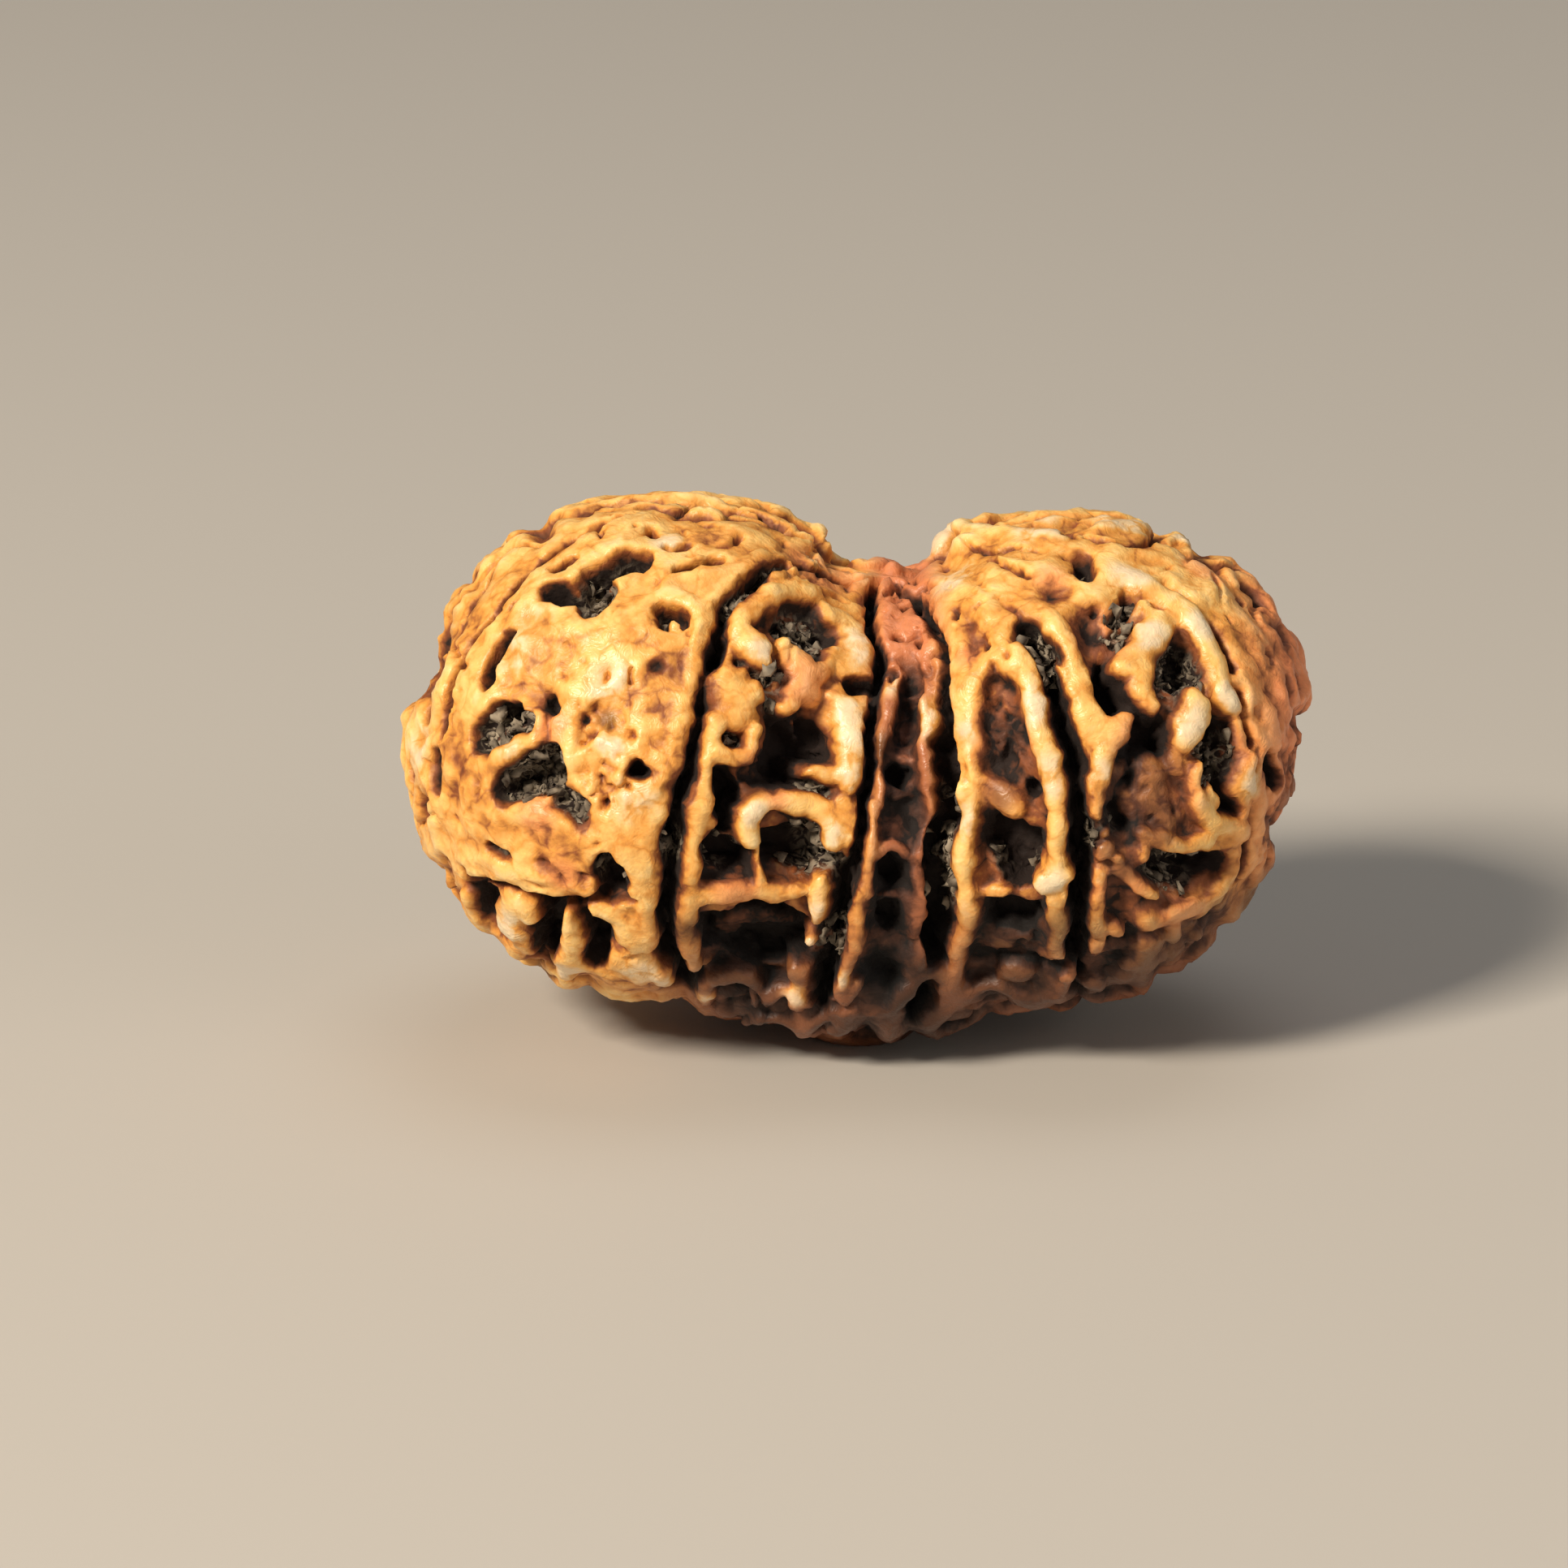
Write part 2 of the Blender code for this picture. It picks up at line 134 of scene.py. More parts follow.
# Deep grooves from the top of the seed down: half width, depth and course.
FRONT_GROOVES = {
    "left_plate_edge": ((0.18, 0.36, 0.42, 0.42, 0.52, 0.54, 0.54, 0.5, 0.38), 2.2, (
        (-2.2, 15.4), (-2.7, 15.25), (-3.2, 15.05), (-3.6, 14.7), (-4.0, 14.2), (-4.4, 13.6),
        (-4.65, 13.0), (-4.8, 12.3), (-4.9, 11.7), (-5.15, 11.0), (-5.3, 10.0), (-5.4, 9.0),
        (-5.6, 8.3), (-5.9, 7.5), (-6.1, 6.8), (-6.15, 6.0), (-6.2, 5.0), (-6.25, 4.0), (-6.3, 3.0),
        (-6.3, 2.3), (-6.0, 1.5), (-5.8, 0.8))),
    "waist_left": ((0.17, 0.22, 0.24, 0.28, 0.3, 0.36, 0.46, 0.32), 1.9, (
        (0.5, 14.7), (0.5, 14.0), (0.5, 13.3), (0.75, 12.3), (0.75, 11.6), (0.65, 11.0), (0.65, 10.4),
        (0.6, 9.8), (0.55, 9.0), (0.3, 8.0), (0.2, 7.4), (0.1, 6.0), (-0.1, 5.4), (-0.3, 4.8), (-0.5, 4.2),
        (-0.7, 3.5), (-0.8, 2.8), (-0.85, 2.0), (-1.2, 1.2), (-1.3, 0.4))),
    "waist_right": ((0.12, 0.18, 0.26, 0.38, 0.48, 0.5, 0.48, 0.4), 1.9, (
        (1.75, 14.3), (2.1, 13.8), (2.4, 13.3), (2.55, 12.9), (2.65, 12.4), (2.7, 11.9), (2.74, 11.5),
        (2.76, 11.0), (2.76, 10.4), (2.77, 9.6), (2.77, 9.0), (2.78, 8.2), (2.8, 7.4), (2.76, 6.7),
        (2.72, 6.0), (2.84, 5.0), (2.87, 4.3), (2.86, 3.5), (2.8, 2.5), (2.77, 1.5), (2.77, 0.6))),
    "right_plate_edge_top": ((0.07, 0.09, 0.12, 0.17), 0.85, (
        (3.0, 15.4), (3.4, 15.15), (3.8, 14.85), (4.3, 14.45), (4.7, 14.1), (5.0, 13.85), (5.3, 13.6),
        (5.6, 13.3))),
    "left_end_groove": ((0.07, 0.1, 0.13, 0.14, 0.12, 0.1, 0.08), 0.7, (
        (-6.5, 17.0), (-7.5, 17.05), (-8.6, 16.6), (-9.3, 16.3), (-9.9, 15.9), (-10.4, 15.5),
        (-10.9, 15.05), (-11.4, 14.5), (-11.75, 14.0), (-12.1, 13.5), (-12.6, 13.1), (-13.0, 12.7),
        (-13.2, 12.2), (-13.35, 11.6), (-13.5, 11.0), (-13.55, 10.4), (-13.65, 9.6), (-13.72, 8.9),
        (-13.72, 8.1), (-13.7, 7.6), (-13.65, 7.1), (-13.5, 6.2))),
}

# Deep grooves that stop short of the top of the seed: half width, depth and course.
FRONT_CHANNELS = {
    "right_plate_edge": ((0.32, 0.36, 0.3, 0.34, 0.4, 0.44, 0.48, 0.46, 0.38, 0.3), 2.0, (
        (5.5, 13.25), (5.7, 12.95), (5.95, 12.55), (6.2, 12.2), (6.3, 11.8), (6.45, 11.2), (6.6, 10.6),
        (6.8, 9.6), (7.1, 9.0), (7.2, 8.3), (7.2, 7.5), (7.3, 6.8), (7.4, 6.0), (7.4, 5.4), (7.4, 4.5),
        (7.4, 3.5), (7.3, 2.8), (7.25, 2.2), (7.3, 1.4), (7.25, 0.6), (6.9, -0.1))),
    "right_plate_edge_branch": ((0.14, 0.1), 0.9, ((5.25, 13.0), (5.1, 12.5), (4.95, 12.2))),
    "right_end": ((0.1, 0.16, 0.22, 0.25, 0.25, 0.22, 0.16), 1.2, (
        (10.2, 14.7), (10.7, 14.4), (11.1, 14.0), (11.6, 13.5), (12.0, 13.0), (12.35, 12.4),
        (12.6, 11.7), (12.8, 11.0), (12.95, 10.0), (13.2, 9.4), (13.35, 8.6), (13.4, 8.0), (13.3, 7.4),
        (13.2, 6.8), (13.05, 6.2), (12.95, 5.6), (12.8, 5.0), (12.7, 4.5), (12.4, 4.0), (12.0, 3.6),
        (11.5, 3.1))),
}

# Steep pits: half width, depth and course.
FRONT_PITS = {
    "plate_top_left": ((0.24, 0.38, 0.42, 0.42), 1.4, (
        (-10.1, 14.3), (-9.7, 14.3), (-9.2, 14.35), (-8.8, 14.7))),
    "plate_top_right": ((0.3, 0.42, 0.4, 0.34), 1.5, (
        (-8.75, 15.05), (-8.2, 15.25), (-7.6, 15.45), (-7.2, 15.45))),
    "plate_top_arm": ((0.3, 0.34), 1.2, ((-8.9, 13.9), (-8.4, 14.5))),
    "left_slot": ((0.1, 0.18, 0.26, 0.24), 1.3, (
        (-11.5, 13.1), (-11.8, 12.7), (-12.15, 12.1), (-12.4, 11.5))),
    "plate_top_nick": ((0.18, 0.26), 0.75, ((-10.0, 15.2), (-9.55, 15.45))),
    "plate_slit_up": ((0.06, 0.18, 0.26), 1.3, (
        (-5.95, 15.15), (-5.4, 15.3), (-5.0, 15.4), (-4.75, 15.45))),
    "plate_ring_hole": ((0.4, 0.42), 1.2, ((-6.4, 13.45), (-5.95, 13.45))),
    "plate_small_hole": (0.26, 0.5, ((-6.6, 11.9),)),
    "plate_core": ((0.16, 0.2), 1.1, ((-10.3, 10.85), (-10.15, 10.4))),
    "plate_core_tail_up": ((0.12, 0.05), 0.6, ((-10.35, 10.95), (-10.5, 11.2))),
    "plate_core_tail_down": ((0.1, 0.1), 0.55, ((-10.3, 10.1), (-10.4, 9.5))),
    "left_hollow_dark": (0.36, 1.7, ((-11.95, 10.35), (-11.6, 10.4))),
    "left_hollow_grey": ((0.36, 0.58, 0.55, 0.36), 0.95, (
        (-12.65, 9.25), (-12.25, 9.7), (-11.6, 9.95), (-11.15, 10.0))),
    "cave_left": ((0.45, 0.6), 1.9, ((-11.75, 7.8), (-11.3, 8.1))),
    "cave_right": ((0.7, 0.75), 2.1, ((-10.9, 8.4), (-10.45, 8.35))),
    "cave_foot": (0.42, 1.1, ((-9.9, 7.35), (-9.5, 7.15))),
    "plate_eye": ((0.3, 0.26), 1.1, ((-7.25, 8.5), (-7.05, 8.4))),
    "plate_dimple": ((0.24, 0.28), 0.8, ((-12.2, 5.75), (-11.75, 5.4))),
    "shelf_slit": ((0.16, 0.26, 0.34, 0.32, 0.3), 1.2, (
        (-12.9, 4.65), (-12.3, 4.45), (-11.6, 4.2), (-11.1, 4.0), (-10.4, 3.85), (-9.6, 3.6),
        (-9.0, 3.6), (-8.5, 3.85), (-8.1, 4.05))),
    "plate_lower_eye": ((0.42, 0.5, 0.46), 1.6, ((-8.4, 5.15), (-8.05, 4.6), (-7.75, 4.25))),
    "between_roots_left": ((0.45, 0.42, 0.3), 1.6, ((-10.5, 3.4), (-10.5, 2.6), (-10.5, 1.9))),
    "between_roots_right": ((0.5, 0.46, 0.34), 1.7, ((-8.7, 3.0), (-8.7, 2.3), (-8.7, 1.8))),
    "outer_root_line": (0.1, 0.6, ((-12.6, 3.9), (-12.3, 3.2), (-12.1, 2.6))),
    "hook_inside": ((0.36, 0.36, 0.3), 1.5, ((-2.3, 13.4), (-1.9, 13.5), (-1.3, 13.1), (-0.7, 12.95))),
    "hook_gap": ((0.18, 0.2, 0.18, 0.2, 0.24, 0.2), 1.4, (
        (-2.4, 12.7), (-2.35, 12.2), (-2.3, 11.9), (-2.6, 11.6), (-3.2, 11.4), (-3.6, 11.7), (-3.8, 12.1))),
    "second_side_nick": (0.26, 1.1, ((-0.1, 11.3), (0.5, 11.4))),
    "second_small_pit": (0.14, 0.7, ((-2.7, 10.35), (-2.65, 10.15))),
    "second_ring_hole": (0.32, 1.1, ((-4.0, 9.4),)),
    "second_cave": ((0.7, 0.85, 0.82), 2.1, ((-1.95, 9.6), (-2.05, 9.0), (-2.0, 8.65))),
    "second_cave_side": ((0.3, 0.4, 0.36), 1.9, ((-1.5, 10.1), (-1.3, 9.5), (-1.3, 8.9))),
    "second_cave_foot": (0.3, 1.0, ((-1.3, 7.75),)),
    "second_knee": ((0.34, 0.5, 0.45, 0.4), 1.9, ((-4.35, 8.2), (-4.1, 7.6), (-4.3, 6.9), (-4.4, 6.5))),
    "knee_to_cave": ((0.4, 0.5), 1.3, ((-3.5, 8.2), (-2.9, 8.1))),
    "second_left_well": ((0.55, 0.6, 0.5), 1.8, ((-4.75, 5.6), (-4.2, 5.3), (-3.75, 5.35))),
    "second_right_well": ((0.55, 0.62, 0.6), 1.9, ((-2.6, 5.8), (-2.2, 5.9), (-1.8, 5.6))),
    "second_right_well_side": (0.45, 1.6, ((-1.5, 6.2), (-1.3, 5.6))),
    "second_gap_low": (0.42, 1.5, ((-0.95, 5.2), (-0.9, 4.6))),
    "second_great_hollow": ((1.1, 1.45, 1.25), 1.8, ((-4.3, 2.5), (-3.5, 2.4), (-2.9, 2.5))),
    "waist_dark_patch": (0.09, 0.4, ((1.4, 12.0), (1.75, 11.85), (2.0, 11.95))),
    "waist_upper": ((0.26, 0.4, 0.36), 1.2, ((1.7, 11.0), (1.6, 10.4), (1.6, 9.8))),
    "waist_hole": (0.42, 1.7, ((1.5, 8.45), (1.5, 8.15))),
    "waist_arch": (0.5, 1.7, ((1.2, 5.1), (1.3, 4.8))),
    "waist_lower": (0.5, 1.7, ((1.2, 3.5), (1.25, 2.9))),
    "fourth_oval": ((0.54, 0.8, 0.84, 0.66), 0.8, ((4.5, 11.1), (4.6, 10.2), (4.7, 9.2), (4.8, 8.5))),
    "fourth_oval_low": (0.4, 1.05, ((4.85, 8.7),)),
    "fourth_nick": (0.3, 1.3, ((5.65, 7.7),)),
    "fourth_cave": ((0.78, 0.88, 0.85), 2.0, ((4.8, 6.2), (5.0, 5.6), (5.15, 5.1))),
    "fourth_lower": (0.66, 1.7, ((4.65, 3.3), (5.25, 3.2))),
    "crown_pit": (0.3, 1.0, ((7.46, 15.58), (7.46, 15.08))),
    "crown_tear": ((0.16, 0.22, 0.2), 1.1, ((8.93, 14.6), (9.04, 14.2), (8.87, 13.8), (8.55, 13.55))),
    "crown_tear_arm": (0.13, 0.9, ((9.04, 14.5), (9.47, 14.3), (9.69, 14.4))),
    "crown_tear_tail": (0.1, 0.7, ((9.79, 14.15), (10.0, 13.95))),
    "crown_tear_foot": (0.26, 1.0, ((8.98, 13.4), (8.6, 13.1))),
    "fork_window": ((0.2, 0.4, 0.48), 1.8, ((8.11, 12.15), (8.27, 11.49), (8.49, 10.94))),
    "round_well": (1.02, 1.8, ((10.7, 12.05),)),
    "under_fork": (0.68, 1.8, ((9.58, 9.8), (10.0, 9.4))),
    "beside_pear": ((0.42, 0.5, 0.5, 0.42), 1.7, ((12.2, 10.0), (12.15, 9.3), (12.1, 8.6), (12.15, 8.0))),
    "thin_pit": (0.11, 0.9, ((11.4, 9.1), (11.5, 8.6))),
    "crescent": ((0.3, 0.26, 0.2), 1.5, ((12.2, 8.2), (12.15, 7.5), (12.3, 7.1), (12.6, 6.9))),
    "fifth_low_eye": (0.44, 1.4, ((8.76, 6.9), (8.82, 6.6))),
    "smile": ((0.45, 0.66, 0.68, 0.45), 2.0, ((10.05, 5.15), (10.7, 4.85), (11.3, 4.75), (12.0, 5.15))),
    "end_hole": (0.13, 0.8, ((12.8, 14.35), (12.85, 14.05))),
    "end_side_pit": (0.22, 0.6, ((14.4, 11.27), (14.3, 10.41))),
}

# Rounded ribs and knobs: half width, height of the crown over the outer form, and course.
FRONT_RIBS = {
    "plate_edge": ((0.3, 0.32, 0.34, 0.36, 0.3), -0.08, (
        (-3.0, 15.75), (-3.9, 15.1), (-4.6, 14.3), (-5.05, 13.5), (-5.3, 12.5), (-5.5, 11.3), (-5.85, 10.2),
        (-5.95, 9.0), (-6.25, 8.0), (-6.65, 7.0), (-6.8, 6.0), (-6.85, 5.0), (-6.9, 4.0), (-7.0, 3.0),
        (-6.9, 2.2))),
    "plate_ring": ((0.22, 0.28, 0.26), 0.0, (
        (-5.3, 13.0), (-5.2, 13.6), (-5.6, 14.1), (-6.3, 14.25), (-6.95, 13.9), (-7.05, 13.3),
        (-6.7, 12.8), (-6.1, 12.65), (-5.6, 12.75))),
    "ring_bead": (0.2, -0.08, ((-6.02, 13.3),)),
    "eye_ring": ((0.2, 0.28, 0.22), 0.0, (
        (-7.75, 8.7), (-7.9, 8.2), (-7.7, 7.65), (-7.2, 7.35), (-6.6, 7.7), (-6.4, 8.3), (-6.6, 8.9))),
    "plate_bright_lump": ((0.4, 0.5), -0.02, ((-8.5, 9.3), (-8.1, 9.15))),
    "hollow_sill": ((0.2, 0.26, 0.28, 0.24), -0.05, (
        (-13.1, 8.5), (-12.3, 8.6), (-11.5, 9.1), (-10.9, 9.4))),
    "cave_sill": ((0.3, 0.36, 0.3), -0.04, ((-12.4, 7.0), (-11.4, 6.7), (-10.4, 6.8), (-9.6, 6.4))),
    "shelf_edge": ((0.3, 0.36, 0.34, 0.3), 0.0, (
        (-13.3, 5.3), (-12.3, 5.2), (-11.3, 4.95), (-10.2, 4.7), (-9.4, 4.5))),
    "lower_eye_rim": ((0.22, 0.28, 0.22), -0.02, (
        (-8.9, 5.5), (-8.4, 6.0), (-7.8, 5.6), (-7.4, 4.9), (-7.3, 4.2))),
    "root_outer": ((0.3, 0.42, 0.36), -0.05, ((-13.1, 4.2), (-12.85, 3.5), (-12.6, 2.8))),
    "root_cone": ((0.5, 0.66, 0.66, 0.5), 0.02, (
        (-11.75, 4.0), (-11.6, 3.4), (-11.4, 2.7), (-11.3, 2.2))),
    "root_cone_shoulder": ((0.36, 0.3), -0.02, ((-11.25, 3.85), (-10.95, 3.3))),
    "root_finger": ((0.26, 0.34, 0.42, 0.42), 0.05, (
        (-9.55, 3.4), (-9.5, 2.7), (-9.6, 2.0), (-9.7, 1.45))),
    "root_inner": ((0.36, 0.48, 0.6, 0.56), 0.02, ((-8.6, 3.6), (-8.05, 3.3), (-7.6, 2.9), (-7.3, 2.4))),
    "root_knob_low": ((0.5, 0.6), -0.02, ((-7.6, 1.6), (-7.2, 1.4))),
    "root_tooth": ((0.28, 0.34), 0.08, ((-6.5, 1.5), (-6.35, 1.2))),
    "root_dim_knob": (0.45, -0.2, ((-8.6, 1.2),)),
    "root_lip": ((0.2, 0.26, 0.2), -0.1, ((-11.5, 1.75), (-10.9, 1.55), (-10.2, 1.55))),
    "left_side_bulge": ((0.7, 0.8, 0.7), 0.02, ((-14.9, 9.9), (-14.8, 9.1), (-14.5, 8.0))),
    "left_side_rib": ((0.4, 0.45, 0.4), -0.05, ((-13.75, 13.2), (-13.95, 12.4), (-14.1, 11.3))),
    "left_top_bump": (0.5, 0.0, ((-11.3, 16.3),)),
    "left_top_rib": ((0.3, 0.4, 0.3), -0.03, ((-12.3, 15.5), (-13.0, 14.7), (-13.5, 14.0))),
    "left_crown": ((0.5, 0.7, 0.7, 0.5), 0.0, ((-9.4, 17.1), (-7.6, 17.7), (-5.6, 17.8), (-3.6, 17.4))),
    "saddle_lump_left": (0.42, 0.0, ((-0.65, 15.95), (-0.3, 15.7))),
    "saddle_lump_mid": (0.34, -0.05, ((-1.3, 15.45),)),
    "hook": ((0.36, 0.38, 0.4, 0.4, 0.38), 0.02, (
        (-0.1, 13.95), (-1.0, 14.3), (-2.0, 14.5), (-2.9, 14.35), (-3.6, 13.7), (-3.85, 13.1),
        (-3.75, 12.7), (-3.5, 12.5))),
    "hook_lobe": ((0.4, 0.46, 0.32), 0.05, ((-3.5, 12.7), (-3.2, 12.4), (-2.95, 12.05))),
    "hook_right": ((0.3, 0.42, 0.44, 0.48), 0.04, ((-0.9, 13.8), (-0.3, 13.4), (0.0, 12.8), (0.0, 12.2))),
    "star_plate": ((0.3, 0.5, 0.74, 0.66), -0.02, (
        (-2.2, 12.6), (-1.85, 12.0), (-1.5, 11.45), (-1.35, 11.0))),
    "star_arm_left": ((0.5, 0.46, 0.36), -0.04, ((-1.7, 11.2), (-2.0, 10.85), (-2.1, 10.5))),
    "star_arm_right": ((0.36, 0.32), -0.02, ((-1.1, 11.5), (-0.75, 11.9), (-0.6, 12.3))),
    "long_white_rib": ((0.3, 0.46, 0.44, 0.42, 0.46, 0.36), 0.06, (
        (-0.75, 10.85), (-0.4, 10.6), (-0.3, 10.0), (-0.28, 9.5), (-0.26, 9.0), (-0.34, 8.4),
        (-0.4, 7.9))),
    "white_rib_thread": (0.04, -0.5, ((-1.55, 10.05), (-1.35, 9.75), (-1.1, 9.35))),
    "white_toe": ((0.34, 0.32, 0.2), 0.04, ((-0.5, 8.35), (-1.0, 8.2), (-1.4, 8.3))),
    "second_blob": ((0.36, 0.66, 0.78, 0.66), 0.02, (
        (-4.2, 11.6), (-4.1, 11.0), (-4.0, 10.6), (-3.85, 10.35))),
    "second_blob_arm": ((0.46, 0.4), 0.0, ((-3.6, 10.8), (-3.2, 11.0))),
    "second_blob_side": ((0.22, 0.24, 0.22), -0.75, ((-3.1, 10.3), (-2.95, 9.7), (-2.9, 9.1))),
    "second_ring": ((0.28, 0.27, 0.28, 0.28, 0.26, 0.26, 0.24), 0.0, (
        (-4.65, 10.0), (-4.75, 9.5), (-4.5, 8.95), (-4.0, 8.72), (-3.55, 8.9), (-3.35, 9.3), (-3.4, 9.8))),
    "second_left_rim": ((0.2, 0.26, 0.46, 0.38, 0.32, 0.3, 0.3, 0.32, 0.3), 0.0, (
        (-4.8, 8.8), (-4.95, 8.2), (-5.15, 7.5), (-5.3, 6.8), (-5.45, 6.0), (-5.5, 5.0), (-5.55, 4.0),
        (-5.6, 3.0), (-5.55, 2.2), (-5.35, 1.7))),
    "second_left_rim_bump": ((0.3, 0.22), -0.12, ((-5.1, 6.55), (-4.75, 6.55))),
    "second_arch": ((0.34, 0.4, 0.34, 0.3, 0.3, 0.4, 0.44, 0.38), 0.04, (
        (-3.55, 6.1), (-3.45, 6.7), (-3.2, 7.15), (-2.5, 7.25), (-1.8, 7.15), (-1.1, 7.05), (-0.8, 6.6),
        (-0.8, 6.05))),
    "second_short_rib": ((0.05, 0.05), -0.15, ((-3.23, 5.7), (-3.22, 5.1))),
    "second_sill": ((0.42, 0.42, 0.4, 0.34, 0.26), 0.0, (
        (-5.4, 4.15), (-4.5, 4.2), (-3.4, 4.35), (-2.6, 4.2), (-1.85, 4.3))),
    "second_sill_peak": ((0.3, 0.1), -0.02, ((-3.2, 4.6), (-3.22, 5.2))),
    "hollow_inner_lump": ((0.5, 0.6, 0.5), -1.25, ((-4.3, 1.9), (-3.6, 2.6), (-2.7, 2.5))),
    "second_tooth": ((0.22, 0.32, 0.22), -0.05, ((-1.25, 4.7), (-1.3, 3.95), (-1.45, 3.2))),
    "second_bead": (0.2, 0.0, ((-1.7, 2.6),)),
    "second_low_tooth": ((0.26, 0.32), 0.02, ((-5.0, 1.05), (-5.05, 0.6))),
    "second_foot": ((0.28, 0.36, 0.3), 0.05, ((-2.0, 1.5), (-2.0, 0.9), (-2.1, 0.45))),
    "second_base": ((0.6, 0.8, 0.6), -0.35, ((-4.6, 0.4), (-3.4, 0.4), (-2.8, 0.1))),
    "waist_top_rib": ((0.12, 0.17), -0.05, ((1.1, 14.2), (1.1, 13.4))),
    "waist_top_bead": (0.12, -0.08, ((1.6, 13.6), (1.6, 13.2))),
    "waist_left_rim": ((0.26, 0.24, 0.17, 0.13, 0.12, 0.12), -0.12, (
        (1.2, 11.9), (1.12, 11.3), (1.02, 10.7), (0.98, 10.0), (0.88, 9.0), (0.8, 8.0), (0.8, 7.2))),
    "waist_right_rim": ((0.13, 0.15, 0.17, 0.21, 0.2, 0.13, 0.12, 0.12), -0.1, (
        (2.0, 12.1), (2.16, 11.6), (2.22, 10.9), (2.26, 10.2), (2.28, 9.6), (2.26, 8.8), (2.28, 7.8),
        (2.3, 6.8))),
    "waist_hole_ring": ((0.13, 0.12, 0.13), -0.75, (
        (1.05, 8.9), (1.5, 9.05), (1.95, 8.8), (2.05, 8.2), (1.8, 7.7), (1.3, 7.65), (1.0, 8.0))),
    "waist_long_rim": ((0.15, 0.2, 0.24, 0.25, 0.24, 0.24), -0.02, (
        (0.6, 7.2), (0.5, 6.0), (0.36, 5.2), (0.2, 4.4), (0.05, 3.5), (-0.08, 2.6), (-0.2, 2.0),
        (-0.5, 1.3), (-0.62, 0.7))),
    "waist_arch_rim": ((0.16, 0.22, 0.22, 0.18), -0.3, (
        (0.75, 5.5), (1.25, 5.85), (1.8, 5.5), (2.1, 4.8), (2.2, 4.2), (2.15, 3.4), (2.0, 2.7))),
    "waist_inner_rib": ((0.12, 0.16, 0.12), -0.6, ((0.6, 3.7), (1.1, 4.1), (1.6, 3.95))),
    "waist_low_knob": (0.35, -0.1, ((1.9, 1.5),)),
    "waist_foot_right": (0.48, -0.1, ((1.3, 0.4),)),
    "waist_foot_left": (0.48, -0.1, ((-0.6, 0.2),)),
    "fourth_left_rim": ((0.4, 0.44, 0.34, 0.26, 0.2, 0.2, 0.24, 0.26, 0.26, 0.24, 0.2), 0.0, (
        (2.2, 15.2), (2.4, 14.6), (2.75, 13.9), (3.0, 13.2), (3.15, 12.5), (3.4, 11.8), (3.45, 11.2),
        (3.48, 10.0), (3.55, 9.0), (3.7, 8.3), (3.75, 7.7), (3.6, 7.0), (3.5, 6.4), (3.4, 5.5),
        (3.45, 4.8), (3.6, 4.2), (3.55, 3.5), (3.35, 2.5), (3.25, 1.6), (3.2, 0.7))),
    "fourth_right_rim": ((0.2, 0.26, 0.32, 0.32, 0.36, 0.44, 0.44, 0.36, 0.3, 0.3), 0.03, (
        (5.2, 12.5), (5.45, 11.7), (5.75, 11.0), (5.9, 10.3), (6.0, 9.4), (6.25, 8.7), (6.4, 8.1),
        (6.5, 7.5), (6.5, 7.0), (6.5, 6.3), (6.55, 5.6), (6.5, 5.1))),
    "fourth_oval_rim": ((0.16, 0.17, 0.18, 0.22, 0.2), -0.02, (
        (3.66, 8.4), (3.58, 9.4), (3.62, 10.6), (3.9, 11.6), (4.6, 12.0), (5.3, 11.5), (5.7, 10.5))),
    "fourth_cross": ((0.3, 0.46, 0.46, 0.3), -0.32, ((3.95, 7.95), (4.35, 7.6), (4.8, 7.4), (5.2, 7.0))),
    "fourth_white_knob": ((0.42, 0.44), 0.06, ((6.15, 4.6), (6.5, 4.7))),
    "fourth_stub": ((0.16, 0.12), -0.4, ((3.9, 4.15), (4.8, 4.15))),
    "fourth_low_rib": ((0.3, 0.36, 0.3), -0.02, ((6.5, 4.0), (6.6, 3.2), (6.5, 2.4))),
    "fourth_low_bar": (0.2, -0.6, ((4.6, 2.3), (5.7, 2.35))),
    "fourth_block": (0.5, -0.25, ((4.9, 1.2), (5.4, 1.2))),
    "fourth_foot_right": (0.32, -0.1, ((6.6, 0.7), (7.06, 1.3))),
    "fourth_foot": (0.45, -0.1, ((6.3, 0.5),)),
    "fifth_foot": (0.5, -0.1, ((7.86, 0.95),)),
    "fourth_base": ((0.35, 0.45, 0.35), -0.12, ((2.7, 0.1), (3.4, 0.1), (4.0, 0.2))),
    "fork_band": ((0.42, 0.42, 0.4, 0.4, 0.4, 0.46, 0.48), 0.02, (
        (5.9, 14.0), (6.5, 13.4), (6.96, 12.8), (7.17, 12.0), (7.38, 11.0), (7.64, 10.2), (8.12, 9.7),
        (8.39, 9.6))),
    "fork_toe": ((0.4, 0.3), 0.0, ((8.39, 9.75), (8.87, 10.1))),
    "y_stem": ((0.46, 0.56, 0.52, 0.44, 0.38, 0.3), 0.0, (
        (10.04, 13.5), (9.74, 13.0), (9.49, 12.5), (9.34, 12.0), (9.34, 11.4), (9.54, 10.9), (9.79, 10.6))),
    "y_arm": ((0.4, 0.34), 0.0, ((9.34, 12.4), (8.92, 12.2), (8.71, 12.0))),
    "well_arch": ((0.46, 0.46, 0.44, 0.42, 0.42, 0.44), 0.03, (
        (9.13, 14.8), (10.04, 14.4), (10.84, 13.85), (11.44, 13.1), (11.79, 12.4), (12.04, 11.7), (12.24, 11.1))),
    "well_arch_end": ((0.42, 0.5), 0.06, ((12.24, 11.1), (12.44, 10.75))),
    "pear": ((0.34, 0.46, 0.58, 0.6, 0.46), 0.08, (
